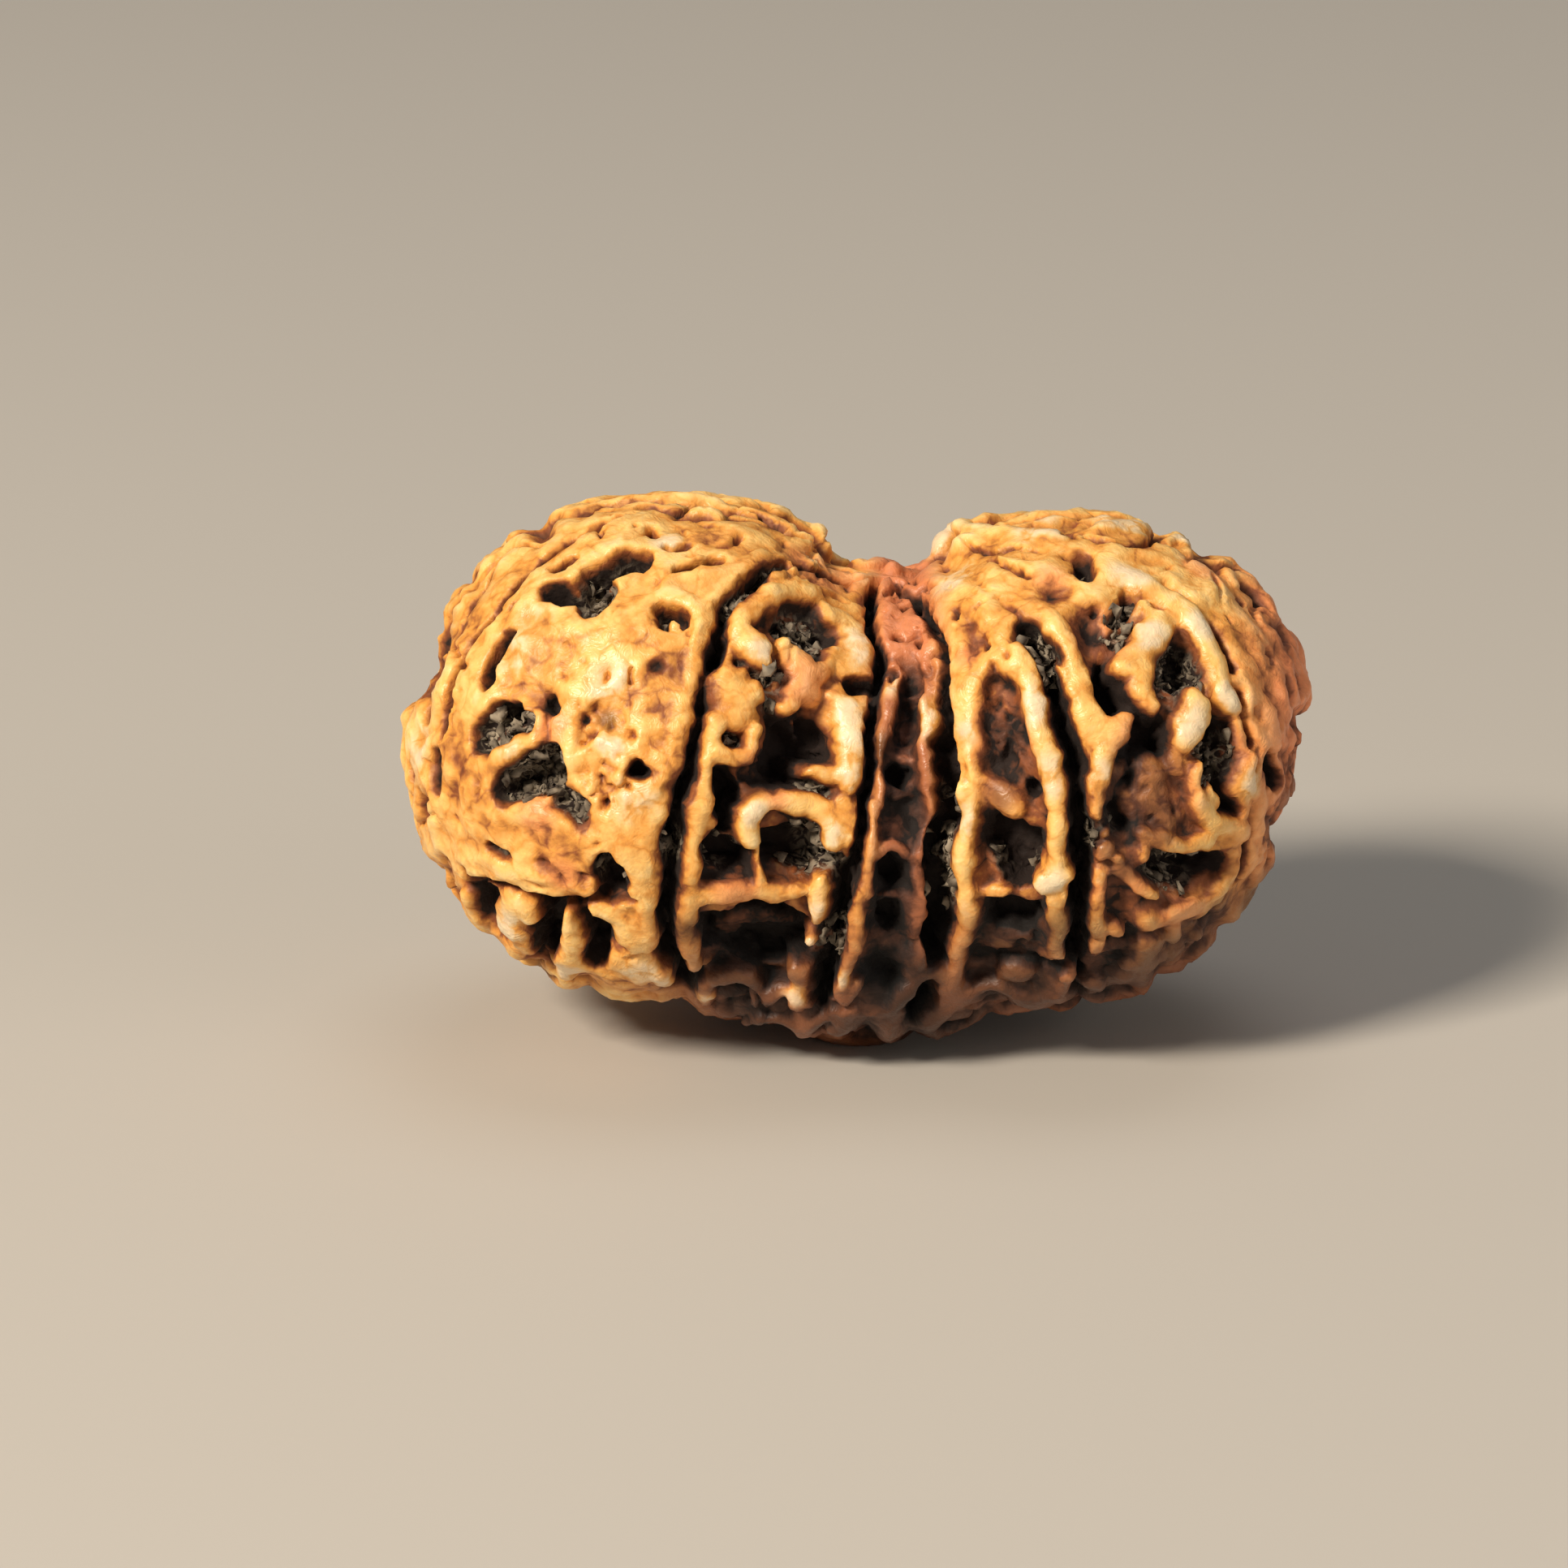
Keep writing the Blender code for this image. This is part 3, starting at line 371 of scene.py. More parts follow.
        (11.05, 10.95), (11.15, 10.5), (11.15, 10.1), (11.05, 9.8), (10.85, 9.4))),
    "right_plate_swell": ((0.9, 1.2, 1.25, 1.0), -0.42, (
        (9.8, 8.3), (10.0, 7.6), (10.1, 7.0), (10.4, 6.5))),
    "right_plate_neck": ((0.3, 0.36), -0.3, ((10.6, 8.9), (10.9, 8.4))),
    "end_knob": ((0.3, 0.5, 0.48), 0.06, ((13.1, 8.7), (13.05, 8.1), (13.0, 7.7))),
    "end_knob_upper": ((0.2, 0.2, 0.22), -0.2, ((12.74, 10.0), (12.89, 9.5), (13.04, 8.9))),
    "crescent_rim": ((0.13, 0.18, 0.26, 0.3, 0.28), -0.04, (
        (11.35, 8.5), (11.25, 7.7), (11.6, 6.95), (12.15, 6.4), (12.85, 6.2))),
    "crescent_bead": (0.14, -0.2, ((11.74, 7.7), (12.04, 7.15))),
    "end_block": (0.4, 0.0, ((12.54, 5.95), (12.64, 6.2))),
    "fifth_club": ((0.3, 0.42, 0.3, 0.18), 0.06, ((8.18, 8.9), (8.02, 8.2), (7.96, 7.4), (7.91, 6.9))),
    "fifth_bead_upper": (0.15, -0.1, ((8.18, 6.2),)),
    "fifth_bead": (0.25, -0.1, ((8.18, 5.6),)),
    "fifth_bead_right": (0.2, -0.1, ((8.6, 5.3),)),
    "fifth_low_rib": ((0.22, 0.26, 0.18, 0.2), -0.15, ((8.12, 5.0), (8.07, 4.4), (8.02, 3.2), (7.86, 2.2))),
    "smile_brow": ((0.3, 0.3, 0.22), -0.15, ((8.6, 4.95), (9.1, 4.55), (9.85, 4.1))),
    "smile_brow_top": ((0.3, 0.3, 0.28), -0.1, ((9.54, 6.15), (10.34, 5.9), (11.14, 5.85), (11.84, 5.95))),
    "smile_lip": ((0.26, 0.3, 0.3, 0.28), 0.02, (
        (12.49, 4.95), (12.04, 4.35), (11.54, 3.95), (10.94, 3.7), (10.44, 3.55))),
    "chin_lump_left": (0.3, -0.15, ((10.54, 3.2), (10.64, 2.6))),
    "chin_lump_right": (0.32, -0.15, ((11.39, 2.65),)),
    "chin_lump_far_left": (0.34, -0.15, ((8.6, 2.95),)),
    "chin_wedge": ((0.55, 0.7, 0.5, 0.3), -0.02, ((9.64, 2.3), (9.59, 1.9), (9.54, 1.4), (9.54, 0.95))),
    "crown_oval": ((0.36, 0.5, 0.54, 0.4), 0.1, ((7.9, 16.45), (8.5, 16.5), (9.1, 16.55), (9.5, 16.55))),
    "crown_knob_mid": ((0.26, 0.28), -0.02, ((10.09, 16.3), (10.54, 16.3))),
    "crown_knob_right": ((0.24, 0.26), 0.12, ((10.99, 16.1), (10.99, 15.8))),
    "right_crown": ((0.4, 0.5, 0.4), 0.0, ((3.3, 16.6), (5.2, 17.0), (7.22, 17.1))),
    "crown_ledge_high": ((0.3, 0.4, 0.4, 0.3), 0.0, (
        (3.4, 16.3), (4.6, 16.35), (5.8, 16.35), (6.8, 16.3))),
    "crown_ledge_mid": ((0.26, 0.34, 0.34, 0.26), 0.0, (
        (8.07, 15.6), (8.92, 15.75), (9.74, 15.65), (10.34, 15.4))),
    "crown_ledge_low": ((0.3, 0.4, 0.4), -0.02, ((4.6, 15.5), (5.6, 15.2), (6.4, 15.1))),
    "saddle_lump_right": ((0.3, 0.36), 0.0, ((2.3, 15.9), (2.7, 16.2))),
    "end_rib_upper": ((0.3, 0.4, 0.3), -0.02, ((12.74, 15.0), (13.54, 14.3), (13.94, 13.5))),
    "end_rib_middle": ((0.4, 0.5, 0.4), 0.0, ((14.54, 12.4), (14.94, 11.4), (14.84, 10.6))),
    "end_rib_cross": ((0.16, 0.2, 0.2), -0.05, ((13.54, 10.0), (14.14, 9.8), (14.54, 9.1))),
    "end_side_bead": (0.26, 0.0, ((14.74, 8.75),)),
    "end_rib_lower": ((0.3, 0.36, 0.4, 0.4, 0.36), -0.02, (
        (14.34, 8.0), (14.04, 6.9), (13.89, 5.9), (13.54, 4.8), (12.94, 3.7), (12.44, 2.95))),
}

# Steep cuts that trim the flanks of the ribs: half width, depth and course.
FRONT_CUTS = {
    "waist_right_cut": ((0.2, 0.3, 0.34, 0.32), 1.7, (
        (2.6, 12.5), (2.7, 12.0), (2.74, 11.2), (2.78, 10.4), (2.78, 9.4), (2.78, 8.4), (2.78, 7.4),
        (2.76, 6.6))),
    "waist_middle_cut": ((0.24, 0.3, 0.3), 0.8, ((1.6, 10.9), (1.55, 10.0), (1.5, 9.5))),
    "cave_right_cut": ((0.26, 0.32, 0.28), 1.8, ((-1.4, 10.05), (-1.22, 9.5), (-1.25, 8.95))),
    "cave_middle_cut": ((0.4, 0.5), 1.9, ((-2.1, 9.6), (-2.05, 8.9))),
    "second_arch_gap": (0.14, 0.9, ((-0.2, 7.5), (-0.25, 7.2), (-0.3, 6.9))),
    "oval_left_cut": ((0.2, 0.22, 0.2), 0.75, ((4.0, 10.6), (3.98, 9.8), (4.05, 9.0))),
}

# Fine creases scored into whatever lies there: half width, depth and course.
FRONT_CREASES = {
    "left_outer_line": ((0.12, 0.14, 0.16, 0.16, 0.14, 0.12), 0.75, (
        (-10.5, 16.05), (-11.0, 15.95), (-11.6, 15.75), (-12.4, 14.9), (-12.9, 14.2), (-13.4, 13.2))),
    "left_crown_line": ((0.1, 0.14, 0.15, 0.15, 0.13, 0.1), 0.65, (
        (-7.2, 17.2), (-6.0, 17.15), (-5.0, 17.3), (-4.0, 17.2), (-3.2, 17.05), (-2.8, 16.8))),
    "left_shoulder_line": ((0.1, 0.14, 0.15, 0.16, 0.15, 0.14, 0.14, 0.13, 0.12, 0.1), 0.65, (
        (-13.85, 9.4), (-13.7, 10.6), (-13.3, 11.8), (-12.7, 12.95), (-12.0, 13.7), (-11.35, 14.5),
        (-10.75, 15.25), (-10.0, 15.85), (-9.2, 16.3), (-8.4, 16.65))),
    "plate_left_slot_top": (0.1, 0.5, ((-11.2, 14.0), (-11.45, 13.75))),
    "plate_slit_low": (0.08, 0.4, ((-6.6, 14.4), (-6.45, 14.75), (-6.15, 15.0), (-5.9, 15.1))),
    "hole_crown": (0.15, 0.8, ((-6.75, 16.3), (-6.7, 16.6))),
    "hole_crown_right": (0.25, 0.9, ((-5.85, 15.85), (-5.75, 15.95))),
    "hole_crown_right_line": (0.09, 0.35, ((-6.3, 15.9), (-5.8, 15.6), (-5.4, 15.6))),
    "speck_crown": (0.12, 0.4, ((-7.2, 16.6),)),
    "speck_crown_right": (0.12, 0.4, ((-5.1, 16.15),)),
    "speck_plate": (0.12, 0.4, ((-9.6, 12.6),)),
    "crown_short_line": (0.1, 0.35, ((-4.6, 16.0), (-4.1, 16.05), (-3.85, 16.25))),
    "plate_short_slit": (0.1, 0.5, ((-7.45, 11.7), (-7.5, 11.3))),
    "plate_upper_line": (0.09, 0.3, ((-7.9, 14.0), (-8.1, 13.6))),
    "plate_pore_a": (0.12, 0.18, ((-9.25, 8.2), (-9.1, 8.35))),
    "plate_pore_b": (0.12, 0.1, ((-8.55, 8.3), (-8.4, 8.2))),
    "plate_pore_c": (0.12, 0.06, ((-8.45, 7.6), (-8.3, 7.75))),
    "plate_pore_d": (0.12, 0.18, ((-7.9, 7.0), (-7.8, 7.2))),
    "plate_pore_e": (0.12, 0.18, ((-7.95, 10.4), (-7.6, 10.15))),
    "plate_pore_f": (0.12, 0.18, ((-8.75, 10.0), (-8.5, 10.1))),
    "plate_mark_a": (0.09, 0.3, ((-9.8, 4.8), (-9.6, 4.4))),
    "plate_mark_b": (0.1, 0.3, ((-9.4, 5.4),)),
    "plate_mark_c": (0.1, 0.3, ((-10.4, 5.2),)),
    "root_line": (0.1, 0.4, ((-7.7, 2.0), (-7.0, 2.2), (-6.5, 1.9))),
    "hook_line": (0.09, 0.35, ((-1.05, 14.25), (-0.3, 14.0))),
    "star_speck": (0.14, 0.4, ((-1.0, 12.2),)),
    "waist_speck_a": (0.14, 0.4, ((1.4, 12.8),)),
    "waist_speck_b": (0.14, 0.4, ((1.75, 12.8),)),
    "waist_speck_c": (0.16, 0.4, ((1.7, 11.4),)),
    "fourth_crack": (0.06, 0.2, ((3.3, 4.05), (3.9, 4.05))),
    "right_crown_line_a": ((0.1, 0.14, 0.14, 0.1), 0.6, (
        (3.5, 16.0), (4.2, 15.85), (5.2, 15.9), (6.1, 15.8))),
    "right_crown_line_b": ((0.1, 0.13, 0.1), 0.5, ((4.3, 15.6), (5.0, 15.2), (5.7, 14.9))),
    "right_crown_line_c": (0.08, 0.3, ((6.8, 15.7), (7.3, 15.65))),
    "right_crown_line_d": ((0.12, 0.15, 0.16, 0.16, 0.16, 0.14, 0.12), 0.8, (
        (7.5, 16.3), (8.0, 16.05), (8.6, 15.98), (9.3, 15.98), (9.8, 16.2), (9.9, 16.5), (9.7, 16.8))),
    "right_crown_speck": (0.17, 0.5, ((7.4, 16.4),)),
    "right_band_speck": (0.17, 0.45, ((7.9, 14.0),)),
    "right_shoulder_line_a": (0.09, 0.35, ((10.8, 15.3), (11.1, 15.6))),
    "right_shoulder_line_b": (0.08, 0.3, ((10.0, 15.0), (10.4, 15.25))),
    "right_shoulder_line_c": (0.08, 0.3, ((9.6, 15.4), (9.8, 15.0))),
    "right_end_line_a": (0.1, 0.4, ((11.8, 15.0), (12.0, 14.4), (12.1, 13.9), (12.4, 13.4))),
    "right_end_line_b": (0.08, 0.3, ((13.0, 13.7), (13.6, 13.2))),
    "right_end_line_c": (0.09, 0.35, ((13.3, 13.0), (13.8, 12.5), (13.9, 12.1), (13.7, 11.8))),
    "right_end_line_d": (0.09, 0.35, ((13.9, 8.2), (13.6, 7.8))),
}

# Windows of the front that are finely crinkled: left, right, low, high, how many creases, the way
# that they run in radians from upright, and how deep they are against the usual.
FRONT_CRINKLES = {
    "plate_middle": (-9.4, -7.4, 7.0, 10.6, 60, 0.3, 0.5),
    "plate_upper": (-11.5, -5.0, 11.0, 13.4, 7, 0.9, 1.0),
    "plate_crown": (-9.0, -4.0, 15.4, 17.2, 16, 1.7, 1.0),
    "plate_lower": (-11.6, -8.4, 4.4, 6.0, 9, 1.2, 1.0),
    "star": (-2.6, -0.6, 10.8, 13.0, 3, 0.3, 1.0),
    "waist_top": (0.9, 2.4, 11.6, 14.8, 40, 0.2, 1.1),
    "saddle": (-2.4, 0.4, 14.6, 16.2, 14, 0.4, 1.0),
    "fourth_top": (2.8, 5.0, 11.8, 14.6, 12, 0.5, 1.0),
    "fourth_oval": (4.2, 5.4, 8.2, 11.2, 20, 1.3, 0.55),
    "right_crown": (4.0, 11.5, 14.6, 16.8, 8, 1.5, 1.0),
    "right_plate": (9.0, 11.3, 5.8, 8.8, 18, 0.4, 0.6),
    "right_end": (13.0, 14.6, 4.0, 14.0, 12, 0.3, 1.0),
    "left_end": (-14.9, -12.6, 4.0, 15.0, 18, -0.2, 1.0),
    "low_right": (4.0, 11.5, 0.4, 2.6, 18, 0.2, 1.0),
}

# Bumps and notches along the edge of the front view: half width, rise and a place just off it.
FRONT_EDGE = {
    "left_crown_notch": (0.15, -0.45, (-10.8, 17.0)),
    "left_crown_bump": (0.3, 0.15, (-11.7, 16.8)),
    "left_shoulder_notch": (0.2, -0.3, (-13.4, 15.2)),
    "left_side_step": (0.3, -0.45, (-14.6, 13.5)),
    "left_side_hollow": (1.0, -0.65, (-15.3, 12.0)),
    "left_side_notch": (0.1, -0.25, (-15.2, 12.2)),
    "left_low_notch": (0.3, -0.4, (-14.7, 4.5)),
    "left_root_notch": (0.15, -0.3, (-12.7, 2.0)),
    "left_foot_notch": (0.2, -0.3, (-10.9, 1.0)),
    "left_heel_notch": (0.25, -0.35, (-9.1, 0.2)),
    "left_toe_notch": (0.25, -0.35, (-6.0, -0.3)),
    "middle_toe_notch": (0.3, -0.45, (0.3, -1.6)),
    "middle_right_notch": (0.25, -0.45, (1.9, -1.2)),
    "saddle_rise": (0.9, 0.32, (0.8, 16.4)),
    "saddle_left_bump": (0.4, 0.3, (-0.7, 17.0)),
    "saddle_right_bump": (0.4, 0.4, (2.3, 17.0)),
    "right_crown_rise": (0.8, 0.2, (3.2, 17.6)),
    "right_crown_notch": (0.25, -0.35, (10.3, 17.4)),
    "right_crown_bump": (0.1, 0.1, (10.95, 17.2)),
    "right_shoulder_notch": (0.5, -0.45, (12.0, 17.0)),
    "right_side_notch": (0.15, -0.55, (16.0, 10.05)),
    "right_side_low": (1.2, -0.3, (16.0, 8.6)),
    "right_side_lower": (0.6, -0.25, (15.4, 6.3)),
    "right_low_notch": (0.2, -0.3, (15.0, 5.7)),
    "right_chin_notch": (0.25, -0.45, (12.9, 2.3)),
    "right_heel_notch": (0.25, -0.45, (10.4, 0.9)),
    "right_foot_notch": (0.2, -0.3, (7.5, -0.3)),
    "right_toe_notch": (0.25, -0.4, (4.6, -0.8)),
}
EDGE_REACH = 2.6
EDGE_WALL = 0.5

# Where dried pulp shows in the front's pits: right of the middle, above the ground and spread.
FRONT_PULP = (
    (-8.4, 14.4, 0.9), (-9.6, 13.9, 0.6), (-7.6, 15.3, 0.5), (-12.4, 9.6, 0.7), (-11.2, 9.9, 0.6),
    (-9.7, 7.2, 0.7), (-10.8, 8.2, 1.2), (-12.0, 5.5, 0.6), (-6.5, 13.5, 0.3), (-4.0, 9.4, 0.4),
    (-3.0, 11.5, 0.7), (-1.5, 5.6, 0.9), (-1.2, 7.7, 0.5), (-0.7, 2.3, 0.6), (-1.4, 13.1, 0.7),
    (-3.9, 14.3, 0.5), (-2.4, 15.3, 0.6), (2.8, 5.5, 0.6), (2.9, 9.2, 0.5), (2.9, 7.6, 0.5),
    (-6.2, 5.6, 0.5), (-8.7, 7.9, 0.4), (2.9, 11.2, 0.4), (6.1, 12.1, 0.5), (8.0, 6.2, 0.5),
    (3.1, 4.2, 0.7), (10.5, 11.8, 0.9), (8.9, 13.5, 0.6), (7.45, 15.2, 0.35), (5.7, 12.8, 0.5),
    (12.0, 8.9, 0.7), (10.9, 4.8, 0.8), (5.0, 5.2, 0.6), (-8.2, 4.9, 0.5), (-4.3, 5.4, 0.5),
)

# Where the front is worn to a pale cream, partly wear and partly painted highlight, is a deeper orange,
# is rosy, and is darker from some dirt but mostly painted shade: right of the middle, above the ground and spread.
FRONT_PALE = (
    (-0.2, 8.4, 0.7), (-0.1, 12.5, 0.7), (6.35, 4.6, 0.5), (7.9, 8.2, 0.5), (10.9, 10.0, 0.6),
    (12.9, 7.9, 0.5), (12.3, 10.8, 0.5), (-0.8, 6.3, 0.5), (-2.0, 0.9, 0.5), (-1.7, 2.6, 0.3),
    (-6.4, 1.3, 0.5), (-9.7, 1.7, 0.6), (2.25, 10.2, 0.7), (1.05, 11.4, 0.5), (8.6, 16.6, 0.9),
    (10.85, 16.1, 0.4), (6.4, 8.2, 0.6), (3.2, 14.9, 0.8), (-11.4, 3.0, 0.8), (-13.9, 13.0, 0.8),
    (9.6, 12.9, 0.6), (11.4, 13.2, 0.5), (-7.4, 7.4, 0.7), (-8.2, 11.3, 0.7), (-11.2, 12.4, 0.9),
    (-3.4, 7.0, 0.4), (-1.4, 3.7, 0.35), (5.8, 10.6, 0.6), (3.6, 6.8, 0.5), (-7.2, 1.6, 0.6),
    (-5.05, 0.8, 0.4), (-0.5, 1.4, 0.4), (8.0, 4.8, 0.3), (-11.5, 9.1, 0.4), (-14.6, 9.2, 0.7),
    (-0.35, 10.3, 0.5), (2.8, 16.0, 0.7), (-8.2, 9.2, 0.5), (-0.2, 9.4, 0.4), (3.6, 9.6, 0.4),
    (-3.2, 12.3, 0.4), (9.0, 14.9, 0.6), (-6.2, 16.1, 0.5), (-10.8, 13.2, 0.7), (6.2, 16.5, 0.9),
    (-1.2, 15.3, 0.5), (-6.0, 11.8, 0.45),
)
FRONT_ORANGE = (
    (-6.4, 7.6, 1.3), (-6.9, 5.2, 1.3), (-5.6, 5.2, 0.9), (-5.6, 3.0, 0.9), (-13.6, 8.0, 1.2),
    (-12.4, 6.4, 1.2), (-9.4, 13.0, 1.0), (-3.5, 13.7, 0.9), (-5.7, 12.0, 0.9), (-4.2, 10.9, 0.8),
    (3.55, 6.8, 0.9), (3.4, 2.6, 1.1), (5.9, 14.0, 0.9), (-10.2, 12.4, 0.8), (-7.3, 13.2, 0.9),
    (-5.0, 16.3, 1.0), (7.0, 12.4, 0.7), (-8.7, 6.1, 0.9), (-12.6, 4.0, 0.5), (6.5, 3.0, 0.7),
    (0.1, 4.4, 0.8), (-0.2, 2.4, 0.7), (8.0, 7.6, 0.3), (12.6, 9.3, 0.5), (-2.9, 15.4, 0.8),
)
FRONT_ROSY = (
    (-10.2, 9.8, 0.5), (-10.7, 6.9, 0.6), (-1.2, 15.2, 1.0), (-1.6, 11.4, 0.9), (-0.2, 14.8, 0.8),
    (8.1, 13.1, 0.9), (9.8, 7.4, 1.5), (8.8, 4.6, 0.9), (-3.0, 8.4, 0.7), (4.6, 7.6, 0.6),
    (4.7, 9.6, 1.0), (6.3, 14.9, 0.5), (-4.0, 4.3, 0.7), (11.6, 15.2, 0.8), (10.8, 3.4, 1.0),
    (8.2, 5.6, 0.5), (-6.6, 12.0, 0.2), (5.0, 2.6, 1.0), (-9.8, 4.9, 0.5), (-2.6, 7.4, 0.4),
    (3.4, 12.2, 0.4), (9.4, 9.4, 0.9), (12.9, 9.2, 0.5),
)
# Spots of painted shade, with some real dirt, mostly over the underside and the lower right.
FRONT_DIRT_AND_SHADE = (
    (-3.6, 1.6, 1.5), (-3.4, 0.2, 1.2), (-0.6, -0.2, 1.0), (1.3, 1.2, 1.3), (5.0, 2.5, 1.2),
    (5.2, 0.9, 1.5), (8.2, 0.9, 1.3), (9.7, 1.8, 1.5), (11.6, 2.8, 1.3), (9.5, 8.1, 1.2),
    (10.2, 6.6, 0.8), (3.2, -0.2, 1.2), (13.4, 4.6, 1.2), (14.4, 7.0, 1.2), (1.5, 7.4, 0.5),
    (0.85, 9.2, 0.5), (9.1, 8.1, 0.7), (9.3, 7.9, 1.0), (10.0, 6.6, 0.6),
    (-8.3, 10.1, 0.3), (-3.1, 8.2, 0.6), (-3.0, 9.6, 0.3), (9.2, 7.0, 1.0), (4.8, 9.6, 0.6),
    (4.6, 7.5, 0.5), (-2.6, 5.0, 0.4), (8.7, 5.0, 0.5), (8.3, 5.9, 0.6), (-5.7, 1.0, 0.8),
    (-8.4, 0.8, 0.7), (-6.6, 0.4, 0.7), (-10.6, 1.2, 0.4), (6.9, 3.0, 0.9), (-5.7, 3.0, 0.7),
)

# The hidden side: groove angles round the poles' line, in degrees from +X towards the back.
BACK_GROOVES = (12.0, 40.0, 68.0, 96.0, 126.0, 152.0, 178.0)
BACK_GROOVE_WIDTHS = (0.14, 0.26, 0.34, 0.38, 0.34, 0.24, 0.14)
BACK_GROOVE_RISES = (74.0, -64.0)
BACK_GROOVE_POINTS = 26
BACK_GROOVE_SWAY = math.radians(3.5)
SWAY_TURNS = 2.3
POLE_WIDTHS = (0.24, 0.2, 0.12)
POLE_DEPTH = 1.1
RIM_OFFSET = 0.72
HIDDEN_LIMIT = 0.1
HIDDEN_SPACING = 1.6
HIDDEN_BAND = (0.7, 17.4)
SEEN_SPAN = (-14.0, 13.4)
SEEN_BAND = (0.7, 17.5)

# The noise that gives vectors starts from the clock unless it is given a seed.
VECTOR_SEED = 5

FRONT_STEP = 0.4
WARP = (0.17, 1.2)
FINE_WARP = (0.1, 0.42)
SWELL_SIZE = 1.8
SIDE_SWELL = 1.6
LUMP_SIZE = 0.8
SIDE_FACING = (0.5, 0.1)
PIT_MARGIN = 0.09
PIT_WALL = 0.19
GROOVE_WALL = 0.2
HOLLOW_WALL = 0.55
LIP = 0.28
RIB_BLEND = 0.18
RIB_FULLNESS = 1.08
UNEVEN_WIDTH = 0.4
UNEVEN_SIZE = 1.0
UNEVEN_TOP = 0.16
RIB_ROUNDNESS = 0.85
RIB_DROP = 5.0
RIB_REACH = 0.6
WALL_TOP = 0.5
FLAT_MIDDLE = (0.0, -0.4)
FLAT_FADE = 0.8
HOLLOW_PASSES = 14
STEEP_PASSES = 2
VOXEL = 0.075
PORE_SHARE = 0.35
PULP_DEPTH = 1.0


def linear(code):
    """An sRGB hex colour as linear RGBA."""
    shades = [int(code[i:i + 2], 16) / 255 for i in (1, 3, 5)]
    return tuple(s / 12.92 if s <= 0.04045 else ((s + 0.055) / 1.055) ** 2.4 for s in shades) + (1.0,)


def add(tree, kind, inputs=None, **settings):
    """Adds a node with its settings, and sets or links its inputs."""
    node = tree.nodes.new(kind)
    for name, value in settings.items():
        setattr(node, name, value)
    for key, value in (inputs or {}).items():
        if isinstance(value, bpy.types.NodeSocket):
            tree.links.new(value, node.inputs[key])
        else:
            node.inputs[key].default_value = value
    return node


class SeedForm(bpy.types.PropertyGroup):
    """Sizes of the stone's relief."""

    rest_level: FloatProperty(
        name="Resting level", description="How far the plain front surface lies below the rib tops",
        default=0.17 * MM, min=0.0, unit="LENGTH", subtype="DISTANCE")
    side_level: FloatProperty(
        name="Side level", description="How much lower the plain surface lies on the sides and back",
        default=0.28 * MM, min=0.0, unit="LENGTH", subtype="DISTANCE")
    swell_height: FloatProperty(
        name="Swell height", description="Height of the broad unevenness of the plain surface",
        default=0.2 * MM, min=0.0, unit="LENGTH", subtype="DISTANCE")
    lump_height: FloatProperty(
        name="Lump height", description="Height of the small lumps of the plain surface",
        default=0.15 * MM, min=0.0, unit="LENGTH", subtype="DISTANCE")
    flat_radius: FloatProperty(
        name="Footing radius", description="Radius of the spot that stays smooth to stand on",
        default=1.8 * MM, min=0.0, unit="LENGTH", subtype="DISTANCE")
    grain_size: FloatProperty(
        name="Grain size", description="Width of the finest grain of the stone",
        default=0.22 * MM, min=0.00001, unit="LENGTH", subtype="DISTANCE")
    grain_height: FloatProperty(
        name="Grain height", description="Height of the grain on the rib tops",
        default=0.02 * MM, min=0.0, unit="LENGTH", subtype="DISTANCE")
    rugged_size: FloatProperty(
        name="Ruggedness size", description="Width of the small bumps all over",
        default=0.6 * MM, min=0.00001, unit="LENGTH", subtype="DISTANCE")
    rugged_height: FloatProperty(
        name="Ruggedness height", description="Height of the small bumps all over",
        default=0.075 * MM, min=0.0, unit="LENGTH", subtype="DISTANCE")
    grit_height: FloatProperty(
        name="Grit height", description="Height of the roughness on the floors of pits and grooves",
        default=0.24 * MM, min=0.0, unit="LENGTH", subtype="DISTANCE")
    triangles: IntProperty(
        name="Triangles", description="How many triangles the finished stone has",
        default=190000, min=1000)
    seed: IntProperty(
        name="Seed", description="Picks the ribs and pits of the hidden sides", default=41)


class PulpFibres(bpy.types.PropertyGroup):
    """Sizes of the dried pulp left in the pits and grooves."""

    density: FloatProperty(
        name="Density", description="Fibres to the square millimetre on the deep floors",
        default=8.0, min=0.0)
    length: FloatProperty(
        name="Length", description="Length of the longest fibres",
        default=0.6 * MM, min=0.0, unit="LENGTH", subtype="DISTANCE")
    thickness: FloatProperty(
        name="Thickness", description="Thickness of a fibre at its middle",
        default=0.34 * MM, min=0.0, unit="LENGTH", subtype="DISTANCE")
    seed: IntProperty(name="Seed", description="Picks where the fibres lie", default=7)


